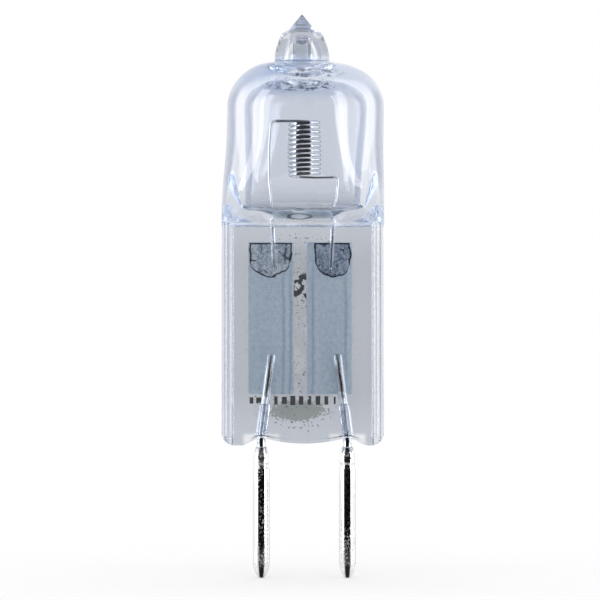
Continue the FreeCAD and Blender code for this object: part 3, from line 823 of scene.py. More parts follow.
@dataclass(frozen=True)
class NickelFinish(MetalFinish):
    """Nickel plate on the pins, with a painted reflection: a ragged dark stripe down the face that runs out
    on the nose.
    """

    shade: FaceShade = FaceShade(0.05, 0.02, 0.13, 0.28, 0.9, 7000.0)
    nose_top: float = 0.70
    nose_widen: float = 0.42
    worn_roughness: float = 0.60
    collar_bright: float = 0.22
    collar_span: tuple[float, float] = (7.6, 8.2)
    collar_wear: tuple[float, ...] = (7.4, 8.4, 0.0, 0.55)
    rub_fade: tuple[float, float] = (0.44, 0.58)
    painted_point_shade: Colour = (0.008, 0.008, 0.008, 1.0)
    point_taper: float = 0.1
    point_half: tuple[float, float] = (0.09, 0.16)
    point_top: tuple[float, float] = (0.7, 1.2)

    def dress(self, sheet: NodeSheet, colour: Term) -> Term:
        """Paints the reflection's shade on the pin, with a wider stripe on the nose's slope, a lighter one at
        the collar, and a dark point painted on the nose's front.
        """
        _, x, y, z = sheet.places()
        shaded = self.shade.dress(sheet, colour, sheet.ease(z, 0.0, self.nose_top, self.nose_widen, 0.0),
                                  sheet.ease(z, *self.collar_span, 0.0, self.collar_bright))
        # painted reflection: a dark point down the front of the nose
        narrowed = abs(abs(x) - PIN_HALF) - z * self.point_taper
        point = sheet.ease(narrowed, *self.point_half, 0.95, 0.0) * sheet.fall(z, *self.point_top)
        point = point * sheet.fall(y, -0.03, 0.0)
        return sheet.blend(point, shaded, self.painted_point_shade)

    def polish(self, sheet: NodeSheet, tint: Term) -> Term:
        """The roughness: polished, with dull specks and rubbed patches, and a dull crimped collar."""
        vector, _, _, z = sheet.places()
        specks = sheet.ease(sheet.noise(vector, self.shade.mottle_scale, 3.0), 0.5, 0.6)
        rubs = sheet.noise(sheet.stretch(vector, (1.0, 1.0, 0.25)), 900.0, 3.0)
        rubs = sheet.ease(rubs, *self.rub_fade)
        collar = sheet.ease(z, *self.collar_wear)
        worn = sheet.most(specks * rubs, sheet.most(specks, rubs) * collar)
        return sheet.ease(worn, 0.0, 1.0, self.roughness, self.worn_roughness)


@dataclass(frozen=True)
class Mound:
    """A smooth swelling of the glass on the cavity's floor."""

    x: float
    half_width: float
    half_depth: float
    height: float

    def rise(self, x: float, y: float) -> float:
        """Its height over a point of the floor."""
        away = ((x - self.x) / self.half_width) ** 2 + (y / self.half_depth) ** 2
        return self.height * math.exp(-away ** 2)


@dataclass
class Envelope:
    """The one-piece quartz envelope: pinch seal, bulb, dome and exhaust tip, with its hollows."""

    material: bpy.types.Material
    seal_width: float = 11.998
    seal_height: float = 16.4
    seal_centre: float = -0.12
    web: float = 2.6
    rail: float = 3.5
    rail_width: float = 0.8
    rail_end: float = 0.55
    corner: float = 0.95
    notch_rise: float = 0.60
    notch_share: float = 0.66
    bulge_rise: float = 0.14
    squareness: float = 5.0
    panel_ledge: float = 0.10
    panel_fillet: float = 0.26
    ledge_drops: tuple[float, ...] = (0.25, 0.18, 0.14, 0.10, 0.06, 0.02)
    foot_round: float = 0.22
    foot_levels: tuple[float, ...] = (0.28, 0.34, 0.40, 0.45, 0.49, 0.52, 0.55, 0.58, 0.61, 0.65, 0.72, 0.85,
                                      1.0, 1.2)
    bulb_radius: float = 5.797
    bulb_centre: float = 0.08
    flare_span: tuple[float, float] = (0.15, 0.75)
    depth_power: float = 2.8
    square_power: float = 4.0
    spring: float = 24.9
    wall: float = 1.25
    dome_top: float = 28.25
    dome_flat: float = 2.1
    floor: float = 17.15
    floor_powers: tuple[float, float, float] = (30.0, 3.0, 2.0)
    floor_square: float = 2.2
    floor_dip: float = 0.06
    floor_fade: tuple[float, float] = (0.1, 1.4)
    tip_centre: float = -0.18
    tip_base: float = 2.02
    tip_shoulder: float = 1.42
    tip_rise: float = 2.18
    cone_radius: float = 0.98
    cone_rise: float = 2.38
    tip_height: float = 3.50
    tip_fillet: float = 0.16
    tip_swell: float = 0.17
    tip_lip: float = 0.07
    point_radius: float = 0.10
    bore_radius: float = 0.66
    bore_rise: float = 1.50
    bore_flare: float = 0.80
    bore_corner: float = 0.12
    bore_drop: float = 0.42
    rim_radius: float = 1.72
    rim_thick: float = 0.42
    capillary: float = 0.11
    capillary_share: float = 0.28
    capillary_taper: float = 0.90
    leg_gap: float = 0.175
    leg_feet: dict[str, float] = field(default_factory=lambda: {"left": -2.20, "right": 1.94})
    leg_entries: dict[str, float] = field(default_factory=lambda: {"left": -2.40, "right": 2.14})
    mounds: tuple[Mound, ...] = (Mound(-3.35, 1.00, 1.30, 0.48), Mound(3.35, 1.00, 1.30, 0.48))
    turns: list[float] = field(default_factory=list)

    def __post_init__(self) -> None:
        """Spaces the ring's points evenly, with more of them where the rails' inner edges run."""
        even = [math.radians(3.75 * step) for step in range(96)]
        edges = [math.radians(quarter * 90 + sign * (45 + shift))
                 for quarter in (0, 2) for sign in (-1, 1)
                 for shift in (-1.3, -0.8, -0.4, 0.4, 0.8, 1.3, 1.8, 2.4, 3.0)]
        self.turns = sorted({round(angle % (2 * math.pi), 6) for angle in even + edges})

    def oval(self, centre: float, z: float, half_width: float, half_depth: float,
             squareness: float) -> list[Vector]:
        """A ring from an ellipse at squareness 2 to a rounded oblong above it, in millimetres."""
        ring = []
        for turn in self.turns:
            angle = math.atan2(half_depth * math.sin(turn), half_width * math.cos(turn))
            across = abs(math.cos(angle) / half_width) ** squareness
            through = abs(math.sin(angle) / half_depth) ** squareness
            reach = (across + through) ** (-1 / squareness)
            ring.append(Vector((centre + reach * math.cos(angle), reach * math.sin(angle), z)))
        return ring

    def round_ring(self, centre: float, radius: float, z: float) -> list[Vector]:
        """A level circle, in metres."""
        return [place(centre + radius * math.cos(turn), radius * math.sin(turn), z)
                for turn in self.turns]

    def foot_line(self, x: float) -> float:
        """The height of the seal's bottom edge at x."""
        half = self.seal_width / 2
        inward = max(0.0, half - abs(x - self.seal_centre))
        if inward < self.corner:
            return self.corner - math.sqrt(self.corner ** 2 - (self.corner - inward) ** 2)
        reach = self.notch_share * (half - self.corner - PIN_HALF)
        side = abs(x)
        if side < PIN_HALF:
            return arc_height((-PIN_HALF, self.notch_rise), (0.0, self.bulge_rise),
                              (PIN_HALF, self.notch_rise), x)
        if side < PIN_HALF + reach:
            return arc_height((PIN_HALF, self.notch_rise), (PIN_HALF + reach / 2, self.notch_rise * 0.62),
                              (PIN_HALF + reach, 0.0), side)
        return 0.0

    def pressed(self, ring: Sequence[Vector]) -> list[Vector]:
        """Sinks the faces of a seal ring between the rails and at the foot."""
        half = self.seal_width / 2 - self.rail_width
        top = self.seal_height - self.panel_ledge
        web = self.web / 2
        sunk = []
        for x, y, z in ring:
            aside = abs(x - self.seal_centre)
            panel = smooth_step(half + self.panel_fillet / 2, half - self.panel_fillet / 2, aside)
            panel *= smooth_step(top + self.panel_fillet / 2, top - self.panel_fillet / 2, z)
            foot = smooth_step(self.rail_end + 0.06, self.rail_end - 0.06, z)
            share = max(panel, foot) if abs(y) > web else 0.0
            sunk.append(Vector((x, mix(y, math.copysign(web, y), share), z)))
        return sunk

    def outer_ring(self, share: float) -> list[Vector]:
        """The bulb's outline at a share of the way from the seal to the dome, in millimetres."""
        flare = 1 - smooth_step(*self.flare_span, share)
        half_width = mix(self.bulb_radius, self.seal_width / 2, flare)
        half_depth = mix(self.rail / 2, self.bulb_radius, 1 - (1 - share) ** self.depth_power)
        squareness = 2 + (self.squareness - 2) * (1 - share) ** self.square_power
        centre = mix(self.seal_centre, self.bulb_centre, smooth_step(0, 1, share))
        z = mix(self.seal_height, self.spring, share)
        return self.oval(centre, z, half_width, half_depth, squareness)

    def inner_ring(self, share: float) -> list[Vector]:
        """The cavity's outline at a share of the way from its floor to the dome, in millimetres."""
        radius = self.bulb_radius - self.wall
        wide, deep, square = ((1 - share) ** power for power in self.floor_powers)
        half_width = radius * (1 - wide) ** 0.4
        half_depth = radius * math.sqrt(1 - deep)
        centre = mix(self.seal_centre, self.bulb_centre, smooth_step(0, 1, share))
        z = mix(self.floor, self.spring, share)
        return self.oval(centre, z, half_width, half_depth, 2 + self.floor_square * square)

    def _seal_rings(self) -> list[list[Vector]]:
        """The seal's rings from the middle of its foot up to the bulb, in millimetres."""
        half, depth = self.seal_width / 2, self.rail / 2
        base = self.oval(self.seal_centre, 0.0, half, depth, self.squareness)
        rings = []
        blend_top = self.foot_levels[-1]
        low = self.pressed([Vector((x, y, self.foot_line(x))) for x, y, _ in base])
        rings += [[Vector((x, y * share, z)) for x, y, z in low] for share in (0.0, 0.35, 0.7, 0.9)]
        radius = self.foot_round
        for angle in spread(0, math.pi / 2, 6):
            ring = []
            for x, y, z in low:
                give = min(radius, abs(y) * 0.8)
                side = math.copysign(abs(y) - give * (1 - math.sin(angle)), y)
                ring.append(Vector((x, side, z + give * (1 - math.cos(angle)))))
            rings.append(ring)
        for level in self.foot_levels:
            ring = [Vector((x, y, z + (blend_top - z) * level / blend_top))
                    for (x, y, _), (_, _, z) in zip(base, low)]
            rings.append(self.pressed(ring))
        top = self.seal_height
        levels = spread(2.4, top - 0.4, 10) + [top - drop for drop in self.ledge_drops]
        return rings + [self.pressed([Vector((x, y, z)) for x, y, _ in base]) for z in levels]

    def _dome_rings(self, radius: float, top: float, steps: int) -> list[list[Vector]]:
        """Rings from the spring line to the dome's flat crown, in metres."""
        rings = []
        for angle in spread(0, math.pi / 2, steps)[1:]:
            reach = self.dome_flat + (radius - self.dome_flat) * math.cos(angle)
            z = self.spring + (top - self.spring) * math.sin(angle)
            shift = smooth_step(0.45, 1.0, angle / (math.pi / 2))
            rings.append(self.round_ring(mix(self.bulb_centre, self.tip_centre, shift), reach, z))
        return rings

    def _tip_profile(self) -> list[tuple[float, float]]:
        """Radius and height along the exhaust tip's outside, from the dome to its ball end."""
        base = self.dome_top
        foot = self.tip_fillet
        found = [(self.tip_base + foot * (1 - math.sin(angle)), base + foot * (1 - math.cos(angle)))
                 for angle in spread(0.3, math.pi / 2, 6)]
        for share in spread(0.0, 1.0, 14)[2:-1]:
            swell = self.tip_swell * 4 * share * (1 - share)
            found.append((mix(self.tip_base, self.tip_shoulder, share) + swell,
                          base + self.tip_rise * share))
        lip = self.tip_lip
        corner = (self.tip_shoulder, base + self.tip_rise)
        found += [(corner[0] + 0.02, corner[1] - lip), (corner[0], corner[1] - lip / 3),
                  (corner[0] - lip / 2, corner[1] + 0.01)]
        found += [(mix(self.tip_shoulder, self.cone_radius, share),
                   base + mix(self.tip_rise, self.cone_rise, share)) for share in (0.3, 0.65, 0.95)]
        ball = base + self.tip_height - self.point_radius
        slope = math.atan2(ball - base - self.cone_rise, self.cone_radius)
        found += [(mix(self.cone_radius, self.point_radius, share),
                   mix(base + self.cone_rise, ball + 0.03, share)) for share in spread(0.04, 0.97, 9)]
        found += arc(0.0, ball, self.point_radius, self.point_radius,
                     spread(math.pi / 2 - slope, math.pi / 2 * 0.93, 4))
        return found

    def _hollow_profile(self) -> list[tuple[float, float]]:
        """Radius and height inside the dome, over the bead and up the blind bore."""
        ceiling = self.dome_top - self.wall
        found = arc(self.rim_radius + 0.02, ceiling, self.rim_thick, -self.rim_thick,
                    spread(0.15, math.pi * 0.62, 10))
        mouth_z = ceiling - self.rim_thick
        for share in spread(0.12, 1.0, 12):
            widen = self.bore_flare * (1 - share) ** 2.2
            found.append((self.bore_radius + widen, mix(mouth_z, self.dome_top, share)))
        top = self.dome_top + self.bore_rise
        corner = self.bore_corner
        found += [(self.bore_radius, z) for z in spread(self.dome_top + 0.2, top - corner, 4)]
        inner = self.bore_radius - corner
        found += arc(inner, top - corner, corner, corner, spread(0.3, math.pi / 2, 4))
        found += arc(0.0, top, inner, -self.bore_drop, spread(0.2, 1.45, 7))
        return found

    def _outer_skin(self, bm: bmesh.types.BMesh) -> None:
        """Grows the outside from the seal's foot to the exhaust tip."""
        rings = self._seal_rings()
        rings += [self.outer_ring(share) for share in [0.0, 0.01, 0.02, 0.035] + spread(0.05, 1.0, 34)]
        rings = [[place(*point) for point in ring] for ring in rings]
        rings += self._dome_rings(self.bulb_radius, self.dome_top, 24)
        rings += [self.round_ring(self.tip_centre, radius, z) for radius, z in self._tip_profile()]
        RingSkin(bm, rings).close(place(self.tip_centre, 0, self.dome_top + self.tip_height))

    def _cavity_skin(self, bm: bmesh.types.BMesh) -> None:
        """Grows the gas space from its floor to the end of the bore."""
        before = set(bm.verts)
        first = self.inner_ring(0.01)
        drop = [(share, self.floor_dip * math.sqrt(1 - share * share)) for share in spread(0.0, 0.975, 22)]
        rings = [[place(x, y * share, z - fall) for x, y, z in first] for share, fall in drop]
        shares = [0.01, 0.016, 0.023, 0.031, 0.04, 0.05, 0.062, 0.075, 0.09] + spread(0.11, 1.0, 34)
        rings += [[place(*point) for point in self.inner_ring(share)] for share in shares]
        rings += self._dome_rings(self.bulb_radius - self.wall, self.dome_top - self.wall, 20)
        rings += [self.round_ring(self.tip_centre, radius, z) for radius, z in self._hollow_profile()]
        RingSkin(bm, rings).close(place(self.tip_centre, 0, self.dome_top + self.bore_rise - self.bore_drop))
        for vert in bm.verts:
            if vert not in before:
                x, y, z = vert.co.x / MM, vert.co.y / MM, vert.co.z / MM - SEAL_LIFT
                fade = 1 - smooth_step(*self.floor_fade, z - self.floor)
                vert.co.z += fade * sum(mound.rise(x, y) for mound in self.mounds) * MM

    def _capillary_skin(self, bm: bmesh.types.BMesh, side: Side) -> None:
        """Grows the narrow clearance round one lead below its foil."""
        radius = LEAD_RADIUS + self.capillary
        bend = Vector((side.value * PIN_HALF, 0, LEAD_BEND_Z))
        top = Vector((side.value * LEAD_TOP_X, 0, LEAD_TOP_Z))
        mouth = Vector((bend.x, 0, self.notch_rise + 0.02))
        upward = (top - bend).normalized()
        reach = (top - bend).length * self.capillary_share
        taper = self.capillary_taper
        stations = [(mouth, radius), (bend.lerp(mouth, 0.4), radius)]
        stations += [(bend + upward * along, size) for along, size in (
            (0.15, radius), (reach * 0.5, radius), (reach, radius),
            (reach + taper * 0.5, radius - self.capillary * 0.35), (reach + taper, LEAD_RADIUS - 0.03))]
        rings = [[place(centre.x + size * math.cos(angle), size * math.sin(angle), centre.z)
                  for angle in spread(0, 2 * math.pi, 33)[:-1]] for centre, size in stations]
        RingSkin(bm, rings, True).close(place(*(bend + upward * (reach + taper + 0.05))))

    def _leg_skin(self, bm: bmesh.types.BMesh, side: Side) -> None:
        """Grows the hair-thin clearance round one filament leg below the cavity's floor."""
        low_x, high_x = self.leg_feet[side.word], self.leg_entries[side.word]
        gap = self.leg_gap
        rings = []
        for z in spread(LEG_END + 0.1, self.floor - 0.08, 6):
            x = mix(low_x, high_x, (z - LEG_END) / (LEG_ENTRY - LEG_END))
            rings.append([place(x + gap * math.cos(angle), LEG_Y + gap * math.sin(angle), z)
                          for angle in spread(0, 2 * math.pi, 25)[:-1]])
        RingSkin(bm, rings, True).cap()

    def build(self) -> bpy.types.Object:
        """Makes the envelope.

        Returns:
            The finished piece.
        """
        bm = bmesh.new()
        self._outer_skin(bm)
        bmesh.ops.recalc_face_normals(bm, faces=bm.faces[:])
        outside = set(bm.faces)
        self._cavity_skin(bm)
        for side in Side:
            self._capillary_skin(bm, side)
            self._leg_skin(bm, side)
        hollows = [face for face in bm.faces if face not in outside]
        bmesh.ops.recalc_face_normals(bm, faces=hollows)
        bmesh.ops.reverse_faces(bm, faces=hollows)
        return piece(bm, "quartz_glass", self.material, "quartz_envelope", outward=False)


@dataclass
class Filament:
    """The tungsten wire: the coil and its two legs."""

    material: bpy.types.Material
    wire: float = 0.11
    coil_radius: float = 1.01
    pitch: float = 0.318
    turns: int = 12
    top: float = 23.96
    left: float = -2.50
    right: float = 2.50
    left_drifts: tuple[float, float, float] = (-0.08, 0.10, 0.30)
    right_drifts: tuple[float, float, float] = (-0.05, -0.36, -0.56)
    shoulder_bend: float = 0.30
    soft_bend: float = 1.20
    knee_y: float = 0.81
    left_knee: float = 19.50
    right_knee: float = 18.40
    steps: int = 28

    def _leg(self, x: float, drifts: tuple[float, float, float], knee: float, end: float,
             shoulder: float) -> list[Vector]:
        """One leg's corners, from its weld up to its end of the coil."""
        corners = [(x + drifts[2], LEG_Y, LEG_END), (x + drifts[1], LEG_Y, LEG_ENTRY),
                   (x + drifts[0], self.knee_y, knee), (x, self.coil_radius, shoulder),
                   (0, self.coil_radius, end)]
        return [Vector(corner) for corner in corners]

    def build(self) -> bpy.types.Object:
        """Makes the filament.

        Returns:
            The finished piece.
        """
        radius = self.coil_radius
        bottom = self.top - self.turns * self.pitch
        climb = self.pitch / (2 * math.pi * radius)
        bends = [self.soft_bend, self.soft_bend, self.shoulder_bend]
        left = self._leg(self.left, self.left_drifts, self.left_knee, self.top, self.top - self.left * climb)
        right = self._leg(self.right, self.right_drifts, self.right_knee, bottom, bottom - self.right * climb)
        count = self.turns * self.steps
        coil = []
        for step in range(1, count):
            angle = math.pi / 2 - 2 * math.pi * step / self.steps
            coil.append(Vector((radius * math.cos(angle), radius * math.sin(angle),
                                mix(self.top, bottom, step / count))))
        bm = bmesh.new()
        ends = Route(left, bends).points(), Route(right[::-1], bends[::-1]).points()
        WireSkin(self.wire, 12, 0.02).sweep(bm, ends[0] + coil + ends[1])
        return piece(bm, "filament_wire", self.material, "filament")


@dataclass
class Lead:
    """One lead wire, from its foil through the seal into its pin."""

    material: bpy.types.Material
    side: Side
    bend_radius: float = 3.0
    end_z: float = -4.32

    def build(self) -> bpy.types.Object:
        """Makes the lead.

        Returns:
            The finished piece.
        """
        sign = self.side.value
        corners = [Vector((sign * x, 0, z)) for x, z in ((LEAD_TOP_X, LEAD_TOP_Z), (PIN_HALF, LEAD_BEND_Z),
                                                         (PIN_HALF, self.end_z))]
        route = Route(corners, [self.bend_radius])
        bm = bmesh.new()
        WireSkin(LEAD_RADIUS, 32, 0.05).sweep(bm, route.points())
        node = "lead_wire_" + self.side.word
        return piece(bm, "lead_" + self.side.word, self.material, node)


@dataclass
class Pin:
    """One contact pin: a bullet-nosed sleeve with a crimped collar."""

    material: bpy.types.Material
    side: Side
    radius: float = 0.62
    tip: float = -9.80
    mouth: float = -0.12
    collar_length: float = 1.50
    collar_radius: float = 0.575
    collar_taper: float = 0.05
    mouth_length: float = 0.50
    mouth_lip: float = 0.06
    neck_depth: float = 0.05
    neck_rise: float = 0.16
    nose: float = 1.37
    nose_flat: float = 0.03
    crimp_radius: float = 0.50
    crimp_depth: float = 0.08
    crimp_drop: float = 0.28

    def profile(self) -> list[tuple[float, float]]:
        """Radius and height along the sleeve, from inside its mouth to its nose."""
        collar_foot = self.mouth - self.collar_length
        top = self.mouth - self.mouth_length
        inner = LEAD_RADIUS + 0.004
        found = [(inner, self.mouth - 0.30), (inner, self.mouth - 0.02),
                 (inner + 0.02, self.mouth), (LEAD_RADIUS + self.mouth_lip - 0.02, self.mouth),
                 (LEAD_RADIUS + self.mouth_lip, self.mouth - 0.02)]
        high = self.collar_radius - self.collar_taper
        found += [(mix(LEAD_RADIUS + self.mouth_lip, high, share), mix(self.mouth, top, share))
                  for share in (0.2, 0.4, 0.6, 0.8, 0.92)]
        found += [(mix(high, self.collar_radius, share),
                   mix(top, collar_foot + 2 * self.neck_rise, share)) for share in spread(0.02, 0.98, 16)]
        found += [(self.collar_radius - self.neck_depth * 0.7, collar_foot + self.neck_rise * 1.25),
                  (self.collar_radius - self.neck_depth, collar_foot + self.neck_rise),
                  (self.collar_radius - self.neck_depth * 0.8, collar_foot + self.neck_rise * 0.7),
                  (self.radius - 0.025, collar_foot - self.neck_rise * 0.7),
                  (self.radius - 0.004, collar_foot - self.neck_rise * 0.95)]
        nose_z = self.tip + self.nose
        found += [(self.radius, z) for z in spread(collar_foot - self.neck_rise * 1.3, nose_z, 6)]
        found += arc(self.nose_flat, nose_z, self.radius - self.nose_flat, -self.nose,
                     spread(0.04 * math.pi, math.pi / 2, 14)[:-1])
        return found + [(self.nose_flat, self.tip + 0.002), (0.0, self.tip)]

    def build(self) -> bpy.types.Object:
        """Makes the pin: a profile spun round its axis, with two dents pressed in.

        Returns:
            The finished piece.
        """
        centre = self.side.value * PIN_HALF
        bm = bmesh.new()
        points = [place(centre + radius, 0, z) for radius, z in self.profile()]
        last = bm.verts.new(points[0])
        for point in points[1:]:
            made = bmesh.ops.extrude_vert_indiv(bm, verts=[last])
            last = made["verts"][0]
            last.co = point
        bmesh.ops.spin(bm, geom=bm.verts[:] + bm.edges[:], cent=place(centre, 0, 0), axis=(0, 0, 1),
                       angle=2 * math.pi, steps=56, use_merge=True)
        bmesh.ops.remove_doubles(bm, verts=bm.verts[:], dist=WELD)
        crimp = (self.mouth - self.mouth_length - self.crimp_drop + SEAL_LIFT) * MM
        axis = (self.collar_radius - self.crimp_depth + self.crimp_radius) * MM
        for vert in bm.verts:
            across = (self.crimp_radius * MM) ** 2 - (vert.co.z - crimp) ** 2
            if across > 0:
                limit = axis - math.sqrt(across)
                if abs(vert.co.y) > limit:
                    vert.co.y = math.copysign(limit, vert.co.y)
        node = "contact_pin_" + self.side.word
        return piece(bm, "pin_" + self.side.word, self.material, node)


@dataclass(frozen=True)
class InkFinish:
    """The worn stamp on the back of the seal: a faint oval field, loose blots and a row of plain bars."""

    field_oval: Ellipse = (-0.45, 18.20, 2.75, 6.55)
    foot_oval: Ellipse = (-0.567, 12.296, 2.10, 0.741)
    field_fade: tuple[float, ...] = (0.85, 1.1, 0.16, 0.0)
    foot_fade: tuple[float, ...] = (0.85, 1.05, 0.55, 0.0)
    wear: float = 1.6
    foot_wear: float = 3.6
    row_pitch: float = 2.05
    row_shift: float = 0.37
    bars_top: float = 14.0
    blot_span: tuple[float, ...] = (20.2, 20.5, 22.3, 22.7)
    bar_pitch: float = 0.62
    row_half: float = 3.60
    field_colour: Colour = (0.86, 0.86, 0.80, 1.0)
    foot_colour: Colour = (0.52, 0.60, 0.30, 1.0)
    foot_span: tuple[float, float] = (13.0, 13.6)
    bar_colour: Colour = (0.02, 0.025, 0.02, 1.0)

    def material(self) -> bpy.types.Material:
        """Builds the ink.

        Returns:
            The material, clear where there is no ink.
        """
        made, sheet, shader = new_material("seal_ink")
        vector, x, _, z = sheet.places()
        side, rise = sheet.reach(self.field_oval)
        away = abs(side) ** 2.0 + abs(rise) ** 4.0
        specks = sheet.noise(vector, 5200.0, 3.0)
        cloud = sheet.noise(vector, 900.0, 2.0)
        worn = away + (specks - 0.5) * self.wear
        field_share = sheet.ease(worn, *self.field_fade)
        field_share = field_share * sheet.ease(cloud, 0.3, 0.55, 0.35, 1.0)
        foot_side, foot_rise = sheet.reach(self.foot_oval)
        foot = (specks - 0.5) * self.foot_wear + foot_side * foot_side + foot_rise * foot_rise
        field_share = sheet.most(field_share, sheet.ease(foot, *self.foot_fade))
        row = (z - self.field_oval[1]) / self.row_pitch
        within = abs(sheet.math("FRACT", row) - 0.5)
        step = x / self.bar_pitch + sheet.math("FLOOR", row) * self.row_shift
        beat = abs(sheet.math("FRACT", step) - 0.5)
        cell = sheet.take("ShaderNodeCombineXYZ", 0,
                          {0: sheet.math("FLOOR", step), 1: sheet.math("FLOOR", row)})
        size = sheet.add("ShaderNodeTexWhiteNoise", {"Vector": cell}, noise_dimensions="2D")
        width = Term(sheet, size.outputs["Value"]) * 0.26 + 0.1
        length = Term(sheet, size.outputs["Color"]) * 0.12 + 0.07
        bars = (beat < width) * (within < length)
        bars = bars * sheet.fall(z, self.bars_top, self.bars_top + 0.1)
        blots = sheet.span(z, *self.blot_span) * sheet.ease(sheet.noise(vector, 1500.0, 3.0), 0.5, 0.54)
        bars = sheet.most(bars, blots)
        reach = sheet.fall(abs(x - self.field_oval[0]), self.row_half - 0.05, self.row_half + 0.05)
        inside = sheet.fall(abs(rise), 0.86, 0.88)
        bars = bars * reach * inside * sheet.ease(specks, 0.3, 0.36)
        dots = sheet.ease(specks, 0.63, 0.66) * sheet.ease(away, 1.0, 2.6, 0.8, 0.0)
        ground = sheet.blend(sheet.ease(z, *self.foot_span), self.foot_colour, self.field_colour)
        cover = sheet.most(bars * 0.92, field_share, dots)
        sheet.feed(shader, {"Base Color": sheet.blend(sheet.most(bars, dots), ground, self.bar_colour),
                            "Roughness": 0.7, "Alpha": cover})
        return made


@dataclass
class Print:
    """The stamp's thin layer on the back face of the seal's web."""

    material: bpy.types.Material
    centre: float = -0.45
    half_width: float = 4.30
    low: float = 0.90
    high: float = 15.60
    face_y: float = 1.304

    def build(self) -> bpy.types.Object:
        """Makes the layer.

        Returns:
            The finished piece.
        """
        bm = bmesh.new()
        bmesh.ops.create_grid(bm, x_segments=12, y_segments=24, size=MM)
        for vert in bm.verts:
            across, up = vert.co.x / MM, vert.co.y / MM
            vert.co = place(self.centre - across * self.half_width, self.face_y,
                            mix(self.low, self.high, (up + 1) / 2))
        return piece(bm, "seal_print", self.material)


@dataclass(frozen=True)
class FoilPatch:
    """The loose patch over a weld, as a colour on its foil: flat on top and bowed below, ringed with painted
    shade.
    """

    left: float
    right: float
    dark: Colour
    light: Colour
    top: float = 14.96
    straight: float = 1.30
    bow: float = 1.25
    line: float = 0.13
    wobble: float = 0.55
    cell_scale: float = 850.0
    crack_half: tuple[float, float] = (0.015, 0.06)
    crack_tint: Colour = (0.04, 0.05, 0.07, 1.0)
    painted_rim_shade: Colour = (0.015, 0.02, 0.03, 1.0)
    rim_share: float = 0.92

    def dress(self, sheet: NodeSheet, colour: Term) -> Term:
        """Paints the patch over a foil's colour.

        Args:
            sheet: The material's nodes.
            colour: The foil's own colour.

        Returns:
            The colour with the patch on it.
        """
        vector, x, _, z = sheet.places()
        sway = sheet.noise(vector, 1100.0, 2.0) - 0.5
        x = sway * self.wobble + x
        centre, half = (self.left + self.right) / 2, (self.right - self.left) / 2
        across = abs(x - centre) / half
        bowed = sheet.math("SQRT", sheet.most(1.0 - across ** 2.0, 0.0))
        foot = self.top + SEAL_LIFT - self.straight
        above = z - (foot - bowed * self.bow + sway * self.wobble)
        below = self.top + SEAL_LIFT - 0.04 - z
        depth = sheet.least(above, below, (1.0 - across) * half)
        inside = sheet.ease(depth, -0.01, 0.02)
        # painted shade along the patch's outline
        painted_outline_mask = inside * sheet.fall(depth, self.line * 0.6, self.line * 1.2)
        grit = sheet.noise(vector, 7000.0, 3.0)
        folds = sheet.noise(sheet.stretch(vector, (1.0, 1.0, 0.35)), 1300.0, 3.0)
        mottle = grit * 0.5 + folds * 0.5
        base = sheet.blend(sheet.ease(mottle, 0.38, 0.62), self.dark, self.light)
        cells = {"Vector": sheet.stretch(vector, (1.0, 1.0, 0.7)), "Scale": self.cell_scale}
        crack = sheet.take("ShaderNodeTexVoronoi", "Distance", cells, feature="DISTANCE_TO_EDGE")
        cracks = sheet.fall(crack, *self.crack_half)
        broken = sheet.ease(sheet.noise(vector, 1500.0, 2.0), 0.48, 0.58)
        base = sheet.blend(cracks * broken * 0.85, base, self.crack_tint)
        patched = sheet.blend(inside, colour, base)
        return sheet.blend(painted_outline_mask * self.rim_share, patched, self.painted_rim_shade)


@dataclass(frozen=True)
class FoilFinish(MetalFinish):
    """Rolled molybdenum foil: an even fine grain, soft creases with painted shade and highlight, painted
    highlights on its feathered edges, a patch.
    """

    left: float = 0.0
    right: float = 1.0
    creases: tuple[float, ...] = ()
    crease_half: float = 0.16
    crease_share: float = 0.4
    crease_fade: tuple[float, ...] = (20.5, 24.0, 1.0, 0.25)
    crease_shade_and_highlight: tuple[Colour, Colour] = ((0.30, 0.36, 0.50, 1.0), (0.92, 0.97, 1.0, 1.0))
    edge_line: float = 0.09
    edge_share: float = 0.75
    painted_edge_highlight: Colour = (0.96, 0.98, 1.0, 1.0)
    patch: Optional[FoilPatch] = None

    def dress(self, sheet: NodeSheet, colour: Term) -> Term:
        """Adds the creases' painted shade and highlight, the edges' painted highlight and the patch."""
        vector, x, _, z = sheet.places()
        sway = sheet.noise(sheet.stretch(vector, (0.3, 1.0, 1.0)), 260.0, 2.0) - 0.5
        grit = sheet.noise(vector, 9000.0, 2.0)
        bent = sway * 0.5 + x
        for index, crease in enumerate(self.creases):
            band = sheet.ease(abs(bent - crease), 0.0, self.crease_half, self.crease_share, 0.0)
            fade = sheet.ease(z, *self.crease_fade)
            # painted shade and highlight along the creases, dark and light in turn
            colour = sheet.blend(band * fade, colour, self.crease_shade_and_highlight[index % 2])
        rough_x = (grit - 0.5) * 0.12 + x
        near = sheet.least(rough_x - self.left, self.right - rough_x)
        # painted highlight along the foil's feathered edges
        edge = sheet.ease(near, self.edge_line * 0.5, self.edge_line, self.edge_share, 0.0)
        colour = sheet.blend(edge, colour, self.painted_edge_highlight)
        return self.patch.dress(sheet, colour) if self.patch else colour


@dataclass
class Foil:
    """One sealing foil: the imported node, dressed with rolled grain and the patch over its weld."""

    side: Side
    finish: FoilFinish

    def dress(self, grain: bpy.types.NodeTree) -> bpy.types.Object:
        """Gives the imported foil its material.

        Args:
            grain: The grain group.

        Returns:
            The foil's object.
        """
        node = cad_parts["foil_" + self.side.word]
        node.data.materials.clear()
        node.data.materials.append(self.finish.material(grain))
        LOG.info("%s: dressed", node.name)
        return node


@dataclass(frozen=True)
class LightPanel:
    """An upright softbox: its azimuths from the camera, its added brightness and its top."""

    low: float
    high: float
    gain: float
    top: float = 0.60
    soft: float = 2.0


